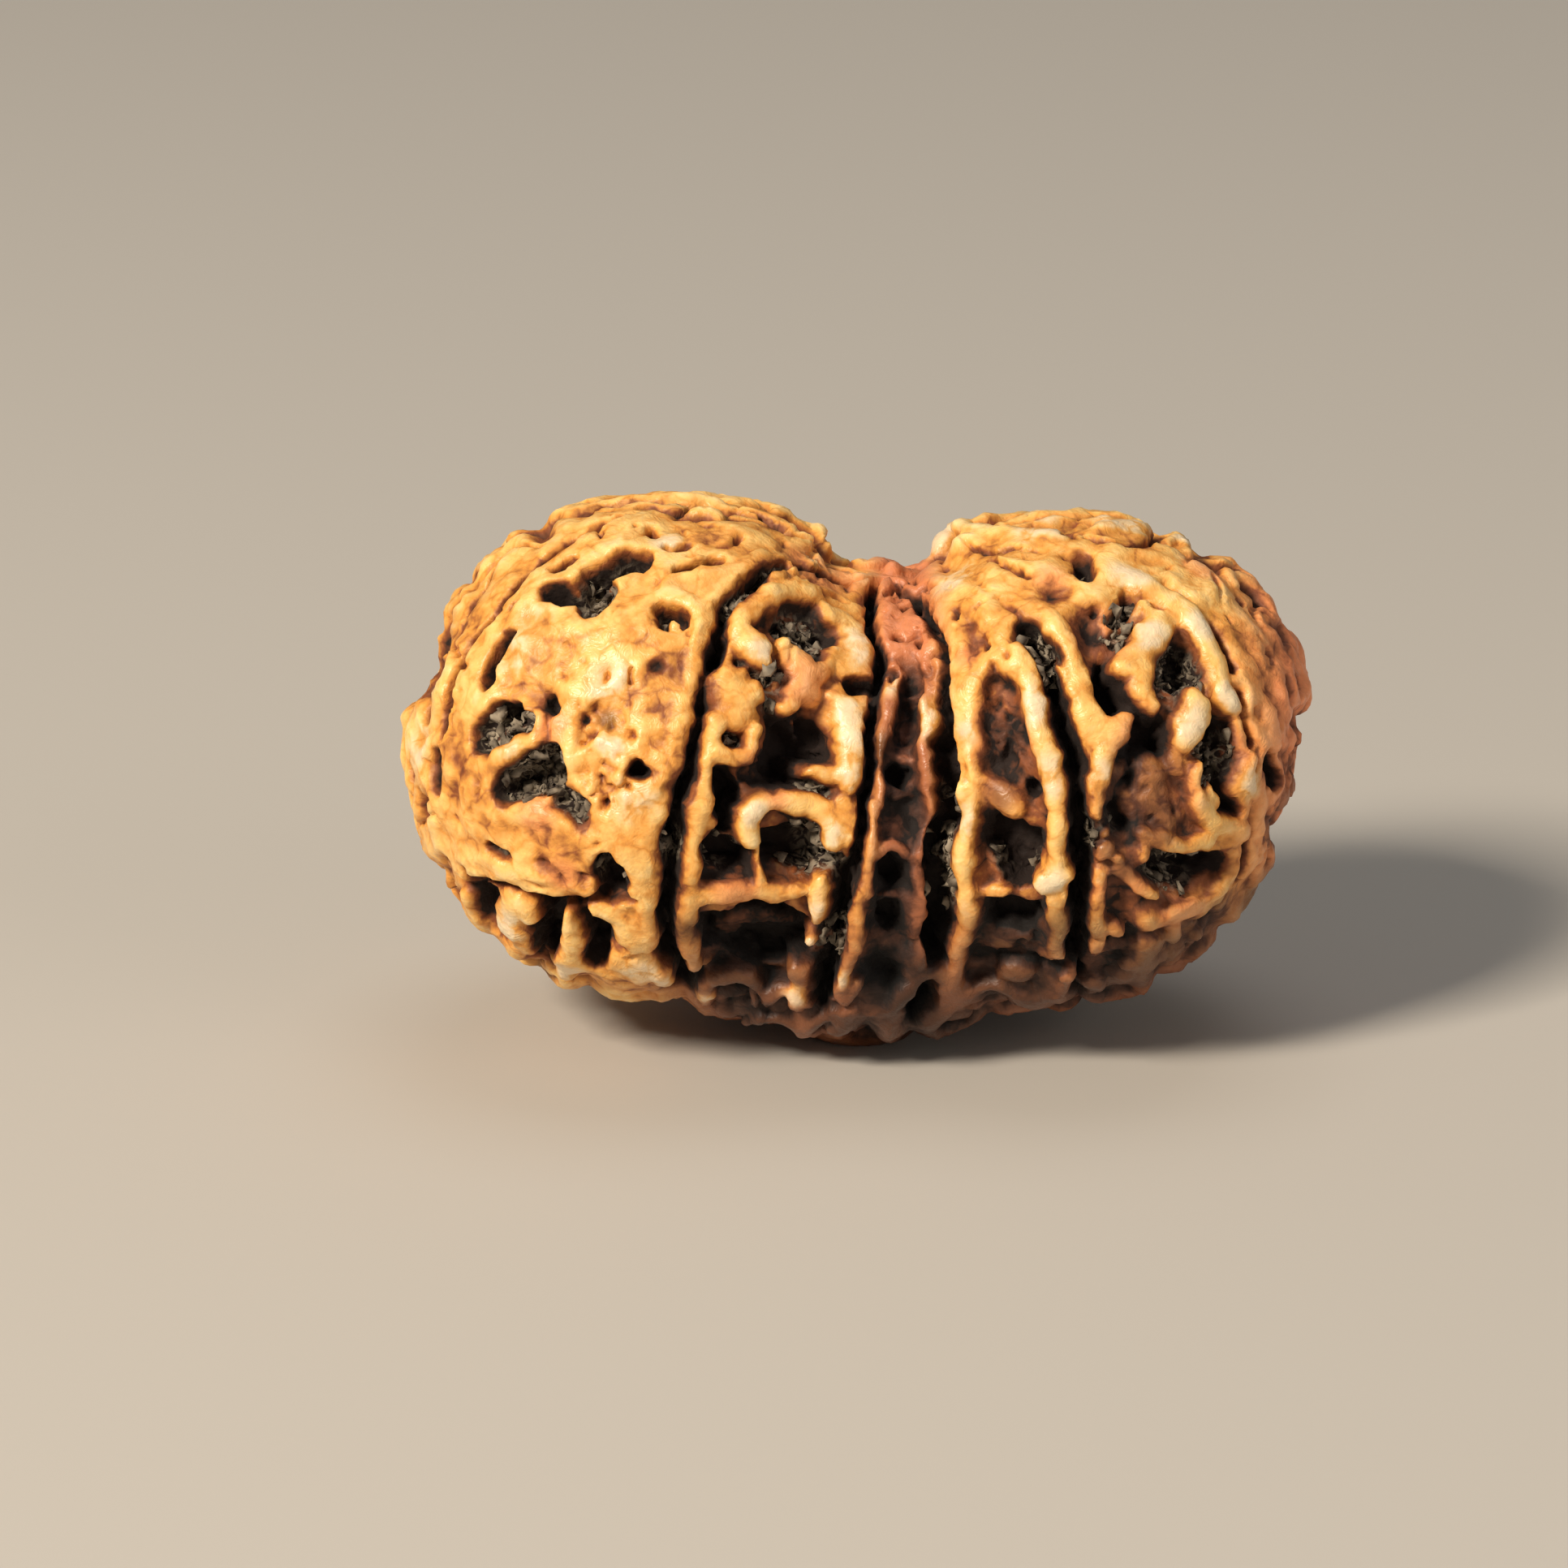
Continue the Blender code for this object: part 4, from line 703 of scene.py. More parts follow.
class StoneColours(bpy.types.PropertyGroup):
    """Colours of the stone, from its waxed crowns to its pit floors."""

    worn: FloatVectorProperty(
        name="Worn", description="Cream of the most handled knobs",
        default=linear("#fcdda0"), size=4, subtype="COLOR", min=0.0, max=1.0)
    crown: FloatVectorProperty(
        name="Crown", description="Pale ochre of the worn rib tops",
        default=linear("#f7c574"), size=4, subtype="COLOR", min=0.0, max=1.0)
    body: FloatVectorProperty(
        name="Body", description="Orange ochre of the plain surface",
        default=linear("#e09a44"), size=4, subtype="COLOR", min=0.0, max=1.0)
    flank: FloatVectorProperty(
        name="Flank", description="Red-brown of the rib sides",
        default=linear("#8a4a20"), size=4, subtype="COLOR", min=0.0, max=1.0)
    floor: FloatVectorProperty(
        name="Pit floor", description="Dark brown of the pits and grooves",
        default=linear("#1e0f08"), size=4, subtype="COLOR", min=0.0, max=1.0)
    blush: FloatVectorProperty(
        name="Blush", description="Pinkish brown of the waist, the right end and the underside",
        default=linear("#c0704c"), size=4, subtype="COLOR", min=0.0, max=1.0)
    # Also the near white of painted highlights laid on crests in the pale spots.
    bleach_and_highlight: FloatVectorProperty(
        name="Bleached", description="Near white of the most handled crests",
        default=linear("#fbf0dc"), size=4, subtype="COLOR", min=0.0, max=1.0)
    fibre: FloatVectorProperty(
        name="Fibre", description="Grey-brown of the dried pulp",
        default=linear("#a0937f"), size=4, subtype="COLOR", min=0.0, max=1.0)


class Studio(bpy.types.PropertyGroup):
    """The floor and the lights."""

    floor_colour: FloatVectorProperty(
        name="Floor", description="Pale matt floor", default=linear("#c2beb7"), size=4,
        subtype="COLOR", min=0.0, max=1.0)
    key_power: FloatProperty(
        name="Key light", description="Power of the soft light at the upper left",
        default=4.25, min=0.0, unit="POWER")
    fill_power: FloatProperty(
        name="Fill light", description="Power of the broad light at the right",
        default=0.46, min=0.0, unit="POWER")
    top_power: FloatProperty(
        name="Top light", description="Power of the light above", default=0.4, min=0.0, unit="POWER")
    world_strength: FloatProperty(
        name="Room light", description="Strength of the even light from all round", default=0.13, min=0.0)


def outside(points):
    """How far points stand outside the run-together swellings; inside is negative."""
    total = np.zeros(len(points))
    for centre, radii, squareness in SWELLINGS:
        offset = points - np.array(centre)
        if squareness == 2.0:
            level = np.sqrt(((offset / radii) ** 2).sum(axis=1))
        else:
            level = (np.abs(offset / radii) ** squareness).sum(axis=1) ** (1.0 / squareness)
        distance = np.linalg.norm(offset, axis=1)
        gap = distance - distance / np.maximum(level, 1e-9)
        total += np.exp(-np.clip(gap, -10.0, 40.0) / RUN_TOGETHER)
    return -RUN_TOGETHER * np.log(total)


def normals_at(points):
    """The outer form's unit normals."""
    slopes = [outside(points + NUDGE * axis) - outside(points - NUDGE * axis) for axis in np.eye(3)]
    normals = np.stack(slopes, axis=1)
    return normals / np.linalg.norm(normals, axis=1, keepdims=True)


def cast_from_heart(directions):
    """Points where rays from the heart meet the outer form."""
    travel = np.full(len(directions), FIRST_REACH)
    for _ in range(8):
        gap = outside(HEART + directions * travel[:, None])
        rise = (outside(HEART + directions * (travel + NUDGE)[:, None]) - gap) / NUDGE
        travel = np.clip(travel - gap / np.maximum(rise, 0.3), 1.0, REACH)
    return np.round(HEART + directions * travel[:, None], COURSE_DIGITS)


def settle(points):
    """Moves points onto the outer form along its normals."""
    for _ in range(4):
        points = points - normals_at(points) * outside(points)[:, None]
    return np.round(points, COURSE_DIGITS)


def cast_from_front(places):
    """The points of the outer form that look this far across and above from the front."""
    eye = EYE_AIM[0] * RIGHT + EYE_AIM[1] * UP + EYE_DISTANCE * TOWARDS_EYE
    travel = np.arange(EYE_DISTANCE - REACH, EYE_DISTANCE + REACH, 0.08)
    laid = []
    for across, above in places:
        ray = across * RIGHT + above * UP - eye
        ray /= np.linalg.norm(ray)
        gaps = outside(eye + travel[:, None] * ray)
        hits = np.flatnonzero(gaps < 0.0)
        nearest = hits[0] if len(hits) else np.argmin(gaps)
        laid.append(eye + travel[nearest] * ray)
    return settle(np.array(laid))


def smooth_course(points, step):
    """Points every step or so along a rounded curve through the given ones."""
    points = [np.array(p, dtype=float) for p in points]
    if len(points) == 1:
        return np.array(points)
    ends = [2 * points[0] - points[1]] + points + [2 * points[-1] - points[-2]]
    course = []
    for before, start, end, after in zip(ends, ends[1:], ends[2:], ends[3:]):
        count = max(1, round(float(np.linalg.norm(end - start)) / step))
        for t in np.arange(count) / count:
            bend = (2 * start + (end - before) * t
                    + (2 * before - 5 * start + 4 * end - after) * t ** 2
                    + (3 * start - before - 3 * end + after) * t ** 3)
            course.append(0.5 * bend)
    return np.array(course + [points[-1]])


def front_course(points):
    """A front-view line laid on the outer form."""
    return cast_from_front(smooth_course(points, FRONT_STEP))


def over_edge(place):
    """A course that runs away from the eye, over the edge of the front view at one place."""
    spot = cast_from_front((place,))
    normal = normals_at(spot)[0]
    along = TOWARDS_EYE - (TOWARDS_EYE @ normal) * normal
    along /= np.linalg.norm(along)
    return settle(np.array([spot[0] + t * along for t in np.linspace(-EDGE_REACH, EDGE_REACH, 11)]))


def widths_along(half_width, count):
    """One half width for each point of a course, from one or several spread evenly along it."""
    given = np.atleast_1d(half_width)
    return np.interp(np.linspace(0, len(given) - 1, count), np.arange(len(given)), given)


def ease(share):
    """A smooth step from 0 to 1."""
    share = np.clip(share, 0.0, 1.0)
    return share * share * (3.0 - 2.0 * share)


def soft_min(first, second, blend):
    """The lower of two heights, with a rounded change from one to the other."""
    near = np.maximum(blend - np.abs(first - second), 0.0) / blend
    return np.minimum(first, second) - near * near * blend * 0.25


def soft_max(first, second, blend):
    """The higher of two heights, with a rounded change from one to the other."""
    return -soft_min(-first, -second, blend)


def noise_at(points, size, salt):
    """Smooth noise about 0 with lumps of this size."""
    shifted = points / size + salt
    return np.array([noise.noise(p) for p in shifted.tolist()])


def noise_vectors_at(points, size, salt):
    """Smooth noise vectors about 0 with lumps of this size."""
    shifted = points / size + salt
    return np.array([noise.noise_vector(p) for p in shifted.tolist()])


class Relief:
    """The height of the finished surface over the outer form, worked stroke by stroke."""

    def __init__(self, points, normals, form):
        self.order = np.argsort(points[:, 0])
        self.places = points[self.order]
        turned = ease((SIDE_FACING[0] - facing(normals[self.order])) / (SIDE_FACING[0] - SIDE_FACING[1]))
        self.heights = -(form.rest_level + form.side_level * turned) / MM
        swelling = noise_at(self.places, SWELL_SIZE, 3.7)
        self.heights += form.swell_height / MM * (1.0 + SIDE_SWELL * turned) * swelling
        self.heights += form.lump_height / MM * noise_at(self.places, LUMP_SIZE, 11.3)
        noise.seed_set(VECTOR_SEED)
        self.points = self.places + WARP[0] * noise_vectors_at(self.places, WARP[1], 5.1)
        self.points += FINE_WARP[0] * noise_vectors_at(self.places, FINE_WARP[1], 8.9)
        self.uneven = noise_at(self.places, UNEVEN_SIZE, 6.3)

    def near(self, course, reach):
        """Which points lie in the box round a course."""
        low, high = course.min(axis=0) - reach, course.max(axis=0) + reach
        slack = WARP[0] + FINE_WARP[0]
        first, last = np.searchsorted(self.places[:, 0], (low[0] - slack, high[0] + slack))
        part = self.points[first:last]
        return first + np.flatnonzero(np.all((part > low) & (part < high), axis=1))

    def gaps(self, close, course, widths):
        """Distance to the edge of a tapering stroke, and to its middle as a share of its half width."""
        points = self.points[close]
        fullness = 1.0 + UNEVEN_WIDTH * self.uneven[close]
        if len(course) == 1:
            distance = np.linalg.norm(points - course[0], axis=1)
            return distance - widths[0] * fullness, distance / (widths[0] * fullness)
        edge = np.full(len(points), np.inf)
        share = np.full(len(points), np.inf)
        for start, end, wide, wide_after in zip(course[:-1], course[1:], widths[:-1], widths[1:]):
            run = end - start
            along = np.clip((points - start) @ run / max(run @ run, 1e-12), 0.0, 1.0)
            distance = np.linalg.norm(points - start - along[:, None] * run, axis=1)
            width = (wide + (wide_after - wide) * along) * fullness
            closer = distance - width < edge
            edge = np.where(closer, distance - width, edge)
            share = np.where(closer, distance / width, share)
        return edge, share

    def sink(self, course, half_width, depth, wall):
        """Sinks a channel or pit, with walls this wide."""
        widths = widths_along(half_width, len(course))
        close = self.near(course, 1.3 * widths.max() + wall)
        if len(close) == 0:
            return
        edge, _ = self.gaps(close, course, widths)
        floor = WALL_TOP - (depth + WALL_TOP) * ease((wall - edge) / (2.0 * wall))
        self.heights[close] = soft_min(self.heights[close], floor, LIP)

    def dish(self, course, half_width, depth, wall=HOLLOW_WALL):
        """Lowers the surface in a soft hollow, or raises it where the depth is negative."""
        widths = widths_along(half_width, len(course))
        close = self.near(course, 1.3 * widths.max() + wall)
        edge, _ = self.gaps(close, course, widths)
        self.heights[close] -= depth * ease((wall - edge) / (2.0 * wall))

    def swell(self, course, half_width, top):
        """Raises a rounded rib or knob with its crown at this height."""
        widths = RIB_FULLNESS * widths_along(half_width, len(course))
        close = self.near(course, 1.3 * widths.max() + RIB_REACH)
        if len(close) == 0:
            return
        edge, share = self.gaps(close, course, widths)
        fall = 1.0 - np.sqrt(1.0 - np.minimum(share, 1.0) ** 2)
        top = top - UNEVEN_TOP * (0.5 - self.uneven[close])
        crown = top - RIB_ROUNDNESS * widths.mean() * fall - RIB_DROP * np.maximum(edge, 0.0)
        self.heights[close] = soft_max(self.heights[close], crown, RIB_BLEND)

    def score(self, course, half_width, depth):
        """Scores a fine crease or small hole into whatever lies there."""
        widths = widths_along(half_width, len(course)) * 1.3
        close = self.near(course, widths.max())
        _, share = self.gaps(close, course, widths)
        self.heights[close] -= depth * (1.0 - np.minimum(share, 1.0) ** 2) ** 1.5

    def finished(self):
        """The heights in the order that the points came in."""
        heights = np.empty(len(self.heights))
        heights[self.order] = self.heights
        return heights


def facing(normals):
    """How squarely the surface faces the front view's eye, from 1 to -1."""
    return normals @ TOWARDS_EYE


def pole_frame(places):
    """For places on the form: normals, directions towards the top pole and directions across."""
    normals = normals_at(places)
    up = TOP_POLE - places
    up -= (up * normals).sum(axis=1)[:, None] * normals
    up /= np.linalg.norm(up, axis=1, keepdims=True)
    return normals, up, np.cross(up, normals)


def local_course(place, steps):
    """A course laid round one place, from steps across and towards the pole."""
    _, up, across = pole_frame(place[None])
    return settle(np.array([place + a * across[0] + b * up[0] for a, b in steps]))


def to_pole(start, pole):
    """A course over the form from a groove's end to just short of a pole."""
    line = [start + (pole - start) * t for t in np.linspace(0.0, 0.9, 9)[1:]]
    directions = np.array(line) - HEART
    return cast_from_heart(directions / np.linalg.norm(directions, axis=1, keepdims=True))


def back_groove(angle, phase):
    """A groove from pole to pole round the back, swaying a little."""
    rises = np.radians(np.linspace(*BACK_GROOVE_RISES, BACK_GROOVE_POINTS))
    turns = angle + BACK_GROOVE_SWAY * np.sin(SWAY_TURNS * rises + phase)
    flat = np.cos(rises)
    directions = np.stack((np.cos(turns) * flat, np.sin(turns) * flat, np.sin(rises)), axis=1)
    directions[:, 0] += TOP_POLE[0] / HEART[2] * flat
    return cast_from_heart(directions / np.linalg.norm(directions, axis=1, keepdims=True))


def seen_places(points):
    """How far across and above points look from the front."""
    eye = EYE_AIM[0] * RIGHT + EYE_AIM[1] * UP + EYE_DISTANCE * TOWARDS_EYE
    away = points - eye
    spread = EYE_DISTANCE / (away @ -TOWARDS_EYE)
    return EYE_AIM[0] + (away @ RIGHT) * spread, EYE_AIM[1] + (away @ UP) * spread


def hidden_places(points, normals, draw):
    """Places spread evenly over what the front view doesn't show or shows only edge on."""
    across, above = seen_places(points)
    edge_on = (above < SEEN_BAND[0]) | (across < SEEN_SPAN[0]) | (across > SEEN_SPAN[1])
    hidden = np.flatnonzero(((facing(normals) < HIDDEN_LIMIT) | edge_on) & (points[:, 2] > HIDDEN_BAND[0])
                            & (points[:, 2] < HIDDEN_BAND[1]))
    draw.shuffle(hidden)
    chosen = np.empty((0, 3))
    for place in points[hidden[:6000]]:
        if len(chosen) == 0 or np.linalg.norm(chosen - place, axis=1).min() > HIDDEN_SPACING:
            chosen = np.vstack((chosen, place))
    return chosen


def carve_hidden_grooves(relief, draw):
    """Sinks the back's grooves and raises broken rims along them."""
    rims = []
    for angle in BACK_GROOVES:
        course = back_groove(math.radians(angle), draw.uniform(0.0, 6.0))
        relief.sink(course, BACK_GROOVE_WIDTHS, draw.uniform(1.4, 1.9), GROOVE_WALL)
        _, _, across = pole_frame(course)
        for side in (-RIM_OFFSET, RIM_OFFSET):
            rims.append(settle(course + side * across))
    return rims


def raise_hidden_rims(relief, rims, draw):
    """Raises broken ribs along the back's grooves."""
    for rim in rims:
        start = 2
        while start < len(rim) - 4:
            length = draw.randint(3, 8)
            piece = rim[start:start + length]
            if len(piece) > 1:
                widths = [draw.uniform(0.22, 0.38) for _ in range(3)]
                relief.swell(piece, widths, draw.uniform(-0.1, 0.02))
            start += length + draw.choice((0, 1, 1, 2))


def carve_hidden_pits(relief, places, draw):
    """Sinks pits with brows over them, and raises ribs and knobs between."""
    brows = []
    for place in places:
        kind = draw.random()
        lean = draw.uniform(-0.5, 0.5)
        if kind < 0.56:
            reach = draw.uniform(0.15, 0.75)
            bow = draw.uniform(-0.3, 0.3)
            half_width = draw.uniform(0.26, 0.56)
            steps = ((-lean * reach, -reach), (bow, 0.0), (lean * reach, reach))
            relief.sink(local_course(place, steps), half_width, draw.uniform(0.9, 1.8), PIT_WALL)
            first = draw.uniform(-0.5, 1.2)
            turn = draw.uniform(1.6, 3.6)
            round_it = half_width + 0.42
            arc = [(round_it * math.cos(first + turn * t), (round_it + reach) * math.sin(first + turn * t))
                   for t in np.linspace(0.0, 1.0, 7)]
            brows.append((local_course(place, arc), draw.uniform(0.22, 0.36), draw.uniform(-0.1, 0.03)))
        elif kind < 0.86:
            reach = draw.uniform(0.6, 1.5)
            bow = draw.uniform(-0.4, 0.4)
            steps = ((-lean * reach, -reach), (bow, -0.3 * reach), (bow, 0.3 * reach), (lean * reach, reach))
            widths = [draw.uniform(0.22, 0.46) for _ in range(3)]
            brows.append((local_course(place, steps), widths, draw.uniform(-0.1, 0.03)))
        else:
            brows.append((local_course(place, ((0.0, 0.0),)), draw.uniform(0.36, 0.6), draw.uniform(-0.08, 0.03)))
    for course, widths, top in brows:
        relief.swell(course, widths, top)


def score_hidden_creases(relief, places, draw):
    """Scores short wandering creases over the hidden sides."""
    for place in places:
        bearing = draw.gauss(0.0, 0.5)
        length = draw.uniform(0.4, 1.3)
        off = draw.uniform(-0.9, 0.9)
        steps = [(off + t * length * math.sin(bearing) + 0.12 * math.sin(5.0 * t), t * length * math.cos(bearing))
                 for t in np.linspace(-0.6, 0.6, 5)]
        relief.score(local_course(place, steps), draw.uniform(0.07, 0.12), draw.uniform(0.2, 0.45))


def score_front_crinkles(relief, draw):
    """Scores fine wandering creases and pores over the front's crinkled windows."""
    for left, right, low, high, count, lean, share in FRONT_CRINKLES.values():
        for _ in range(count):
            middle = np.array((draw.uniform(left, right), draw.uniform(low, high)))
            bearing = draw.gauss(lean, 0.6)
            run = draw.uniform(0.15, 0.45) * np.array((math.sin(bearing), math.cos(bearing)))
            bow = draw.uniform(-0.15, 0.15) * np.array((math.cos(bearing), math.sin(bearing)))
            course = cast_from_front(smooth_course((middle - run, middle + bow, middle + run), FRONT_STEP))
            relief.score(course, draw.uniform(0.06, 0.1), share * draw.uniform(0.15, 0.35))
            if draw.random() < PORE_SHARE:
                relief.score(cast_from_front((middle + bow,)), draw.uniform(0.1, 0.18),
                             share * draw.uniform(0.35, 0.6))


def carve(points, normals, form):
    """Height of the finished surface over the outer form."""
    relief = Relief(points, normals, form)
    draw = random.Random(form.seed)
    places = hidden_places(points, normals, draw)
    for half_width, depth, course in FRONT_HOLLOWS.values():
        relief.dish(front_course(course), half_width, depth)
    rims = carve_hidden_grooves(relief, draw)
    for half_width, depth, course in FRONT_PITS.values():
        relief.sink(front_course(course), np.array(half_width) + PIT_MARGIN, depth, PIT_WALL)
    for half_width, depth, course in FRONT_GROOVES.values():
        laid = front_course(course)
        relief.sink(laid, half_width, depth, GROOVE_WALL)
        relief.sink(to_pole(laid[0], TOP_POLE), POLE_WIDTHS, POLE_DEPTH, GROOVE_WALL)
        relief.sink(to_pole(laid[-1], BOTTOM_POLE), POLE_WIDTHS, POLE_DEPTH, GROOVE_WALL)
    for half_width, depth, course in FRONT_CHANNELS.values():
        relief.sink(front_course(course), half_width, depth, GROOVE_WALL)
    carve_hidden_pits(relief, places, draw)
    raise_hidden_rims(relief, rims, draw)
    for half_width, top, course in FRONT_RIBS.values():
        relief.swell(front_course(course), half_width, top)
    for half_width, depth, course in FRONT_CUTS.values():
        relief.sink(front_course(course), half_width, depth, PIT_WALL)
    for half_width, depth, course in FRONT_CREASES.values():
        relief.score(front_course(course), half_width, depth)
    score_hidden_creases(relief, places, draw)
    score_front_crinkles(relief, draw)
    for half_width, rise, place in FRONT_EDGE.values():
        relief.dish(over_edge(place), half_width, -rise, EDGE_WALL)
    return keep_footing(points, relief.finished(), form.flat_radius / MM)


def keep_footing(points, heights, radius):
    """Fades the relief out round the small spot that the seed stands on."""
    spread = np.linalg.norm(points[:, :2] - np.array(FLAT_MIDDLE), axis=1)
    fade = ease((spread - radius) / FLAT_FADE)
    low = points[:, 2] < HEART[2]
    return np.where(low, heights * fade, heights)


def read_points(mesh):
    """A mesh's vertex places as an array."""
    places = np.empty(3 * len(mesh.vertices))
    mesh.vertices.foreach_get("co", places)
    return places.reshape(-1, 3)


def frame_shift(form_points):
    """How far the outer form moves to stand where the frame's solid stands."""
    low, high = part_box("conjoined_seed")
    low, high = np.array(low) / MM, np.array(high) / MM
    form_low, form_high = form_points.min(axis=0), form_points.max(axis=0)
    shift = 0.5 * (low + high - form_low - form_high)
    shift[2] = high[2] - form_high[2]
    return shift


def grain_tree():
    """Geometry nodes that roughen a surface along its normals: fine grain on top, grit below."""
    tree = bpy.data.node_groups.new("stone_grain", "GeometryNodeTree")
    face = tree.interface
    face.new_socket("Geometry", in_out="INPUT", socket_type="NodeSocketGeometry")
    for name in ("Grain Size", "Grain Height", "Lump Size", "Rugged Height", "Grit Height"):
        face.new_socket(name, in_out="INPUT", socket_type="NodeSocketFloat")
    face.new_socket("Stone", in_out="INPUT", socket_type="NodeSocketMaterial")
    face.new_socket("Geometry", in_out="OUTPUT", socket_type="NodeSocketGeometry")
    given = add(tree, "NodeGroupInput").outputs
    scale = add(tree, "ShaderNodeMath", {0: 1.0, 1: given["Grain Size"]}, operation="DIVIDE").outputs[0]
    lump_scale = add(tree, "ShaderNodeMath", {0: 1.0, 1: given["Lump Size"]}, operation="DIVIDE").outputs[0]
    grit_scale = add(tree, "ShaderNodeMath", {0: scale, 1: 0.6}, operation="MULTIPLY").outputs[0]
    grain = add(tree, "ShaderNodeTexNoise", {"Scale": scale, "Detail": 2.0}).outputs[0]
    rugged = add(tree, "ShaderNodeTexNoise", {"Scale": lump_scale, "Detail": 3.0, "Distortion": 0.6}).outputs[0]
    grit = add(tree, "ShaderNodeTexNoise", {"Scale": grit_scale, "Detail": 3.0, "Roughness": 0.6}).outputs[0]
    depth = add(tree, "GeometryNodeInputNamedAttribute", {"Name": "depth"}, data_type="FLOAT").outputs[0]
    deep = add(tree, "ShaderNodeMapRange", {"Value": depth, 1: 0.5, 2: 1.3, 3: 0.0, 4: 1.0}).outputs[0]
    grit_amount = add(tree, "ShaderNodeMath", {0: deep, 1: given["Grit Height"]}, operation="MULTIPLY").outputs[0]
    rises = []
    for texture, amount in ((grain, given["Grain Height"]), (rugged, given["Rugged Height"]), (grit, grit_amount)):
        centred = add(tree, "ShaderNodeMath", {0: texture, 1: 0.5}, operation="SUBTRACT").outputs[0]
        doubled = add(tree, "ShaderNodeMath", {0: centred, 1: 2.0}, operation="MULTIPLY").outputs[0]
        rises.append(add(tree, "ShaderNodeMath", {0: doubled, 1: amount}, operation="MULTIPLY").outputs[0])
    on_top = add(tree, "ShaderNodeMath", {0: rises[0], 1: rises[1]}, operation="ADD").outputs[0]
    rise = add(tree, "ShaderNodeMath", {0: on_top, 1: rises[2]}, operation="ADD").outputs[0]
    normal = add(tree, "GeometryNodeInputNormal").outputs[0]
    offset = add(tree, "ShaderNodeVectorMath", {0: normal, "Scale": rise}, operation="SCALE").outputs[0]
    moved = add(tree, "GeometryNodeSetPosition", {"Geometry": given["Geometry"], "Offset": offset})
    smooth = add(tree, "GeometryNodeSetShadeSmooth", {"Geometry": moved.outputs[0]})
    real = add(tree, "GeometryNodeRealizeInstances", {"Geometry": smooth.outputs[0]})
    coated = add(tree, "GeometryNodeSetMaterial", {"Geometry": real.outputs[0], "Material": given["Stone"]})
    add(tree, "NodeGroupOutput", {"Geometry": coated.outputs[0]})
    return tree


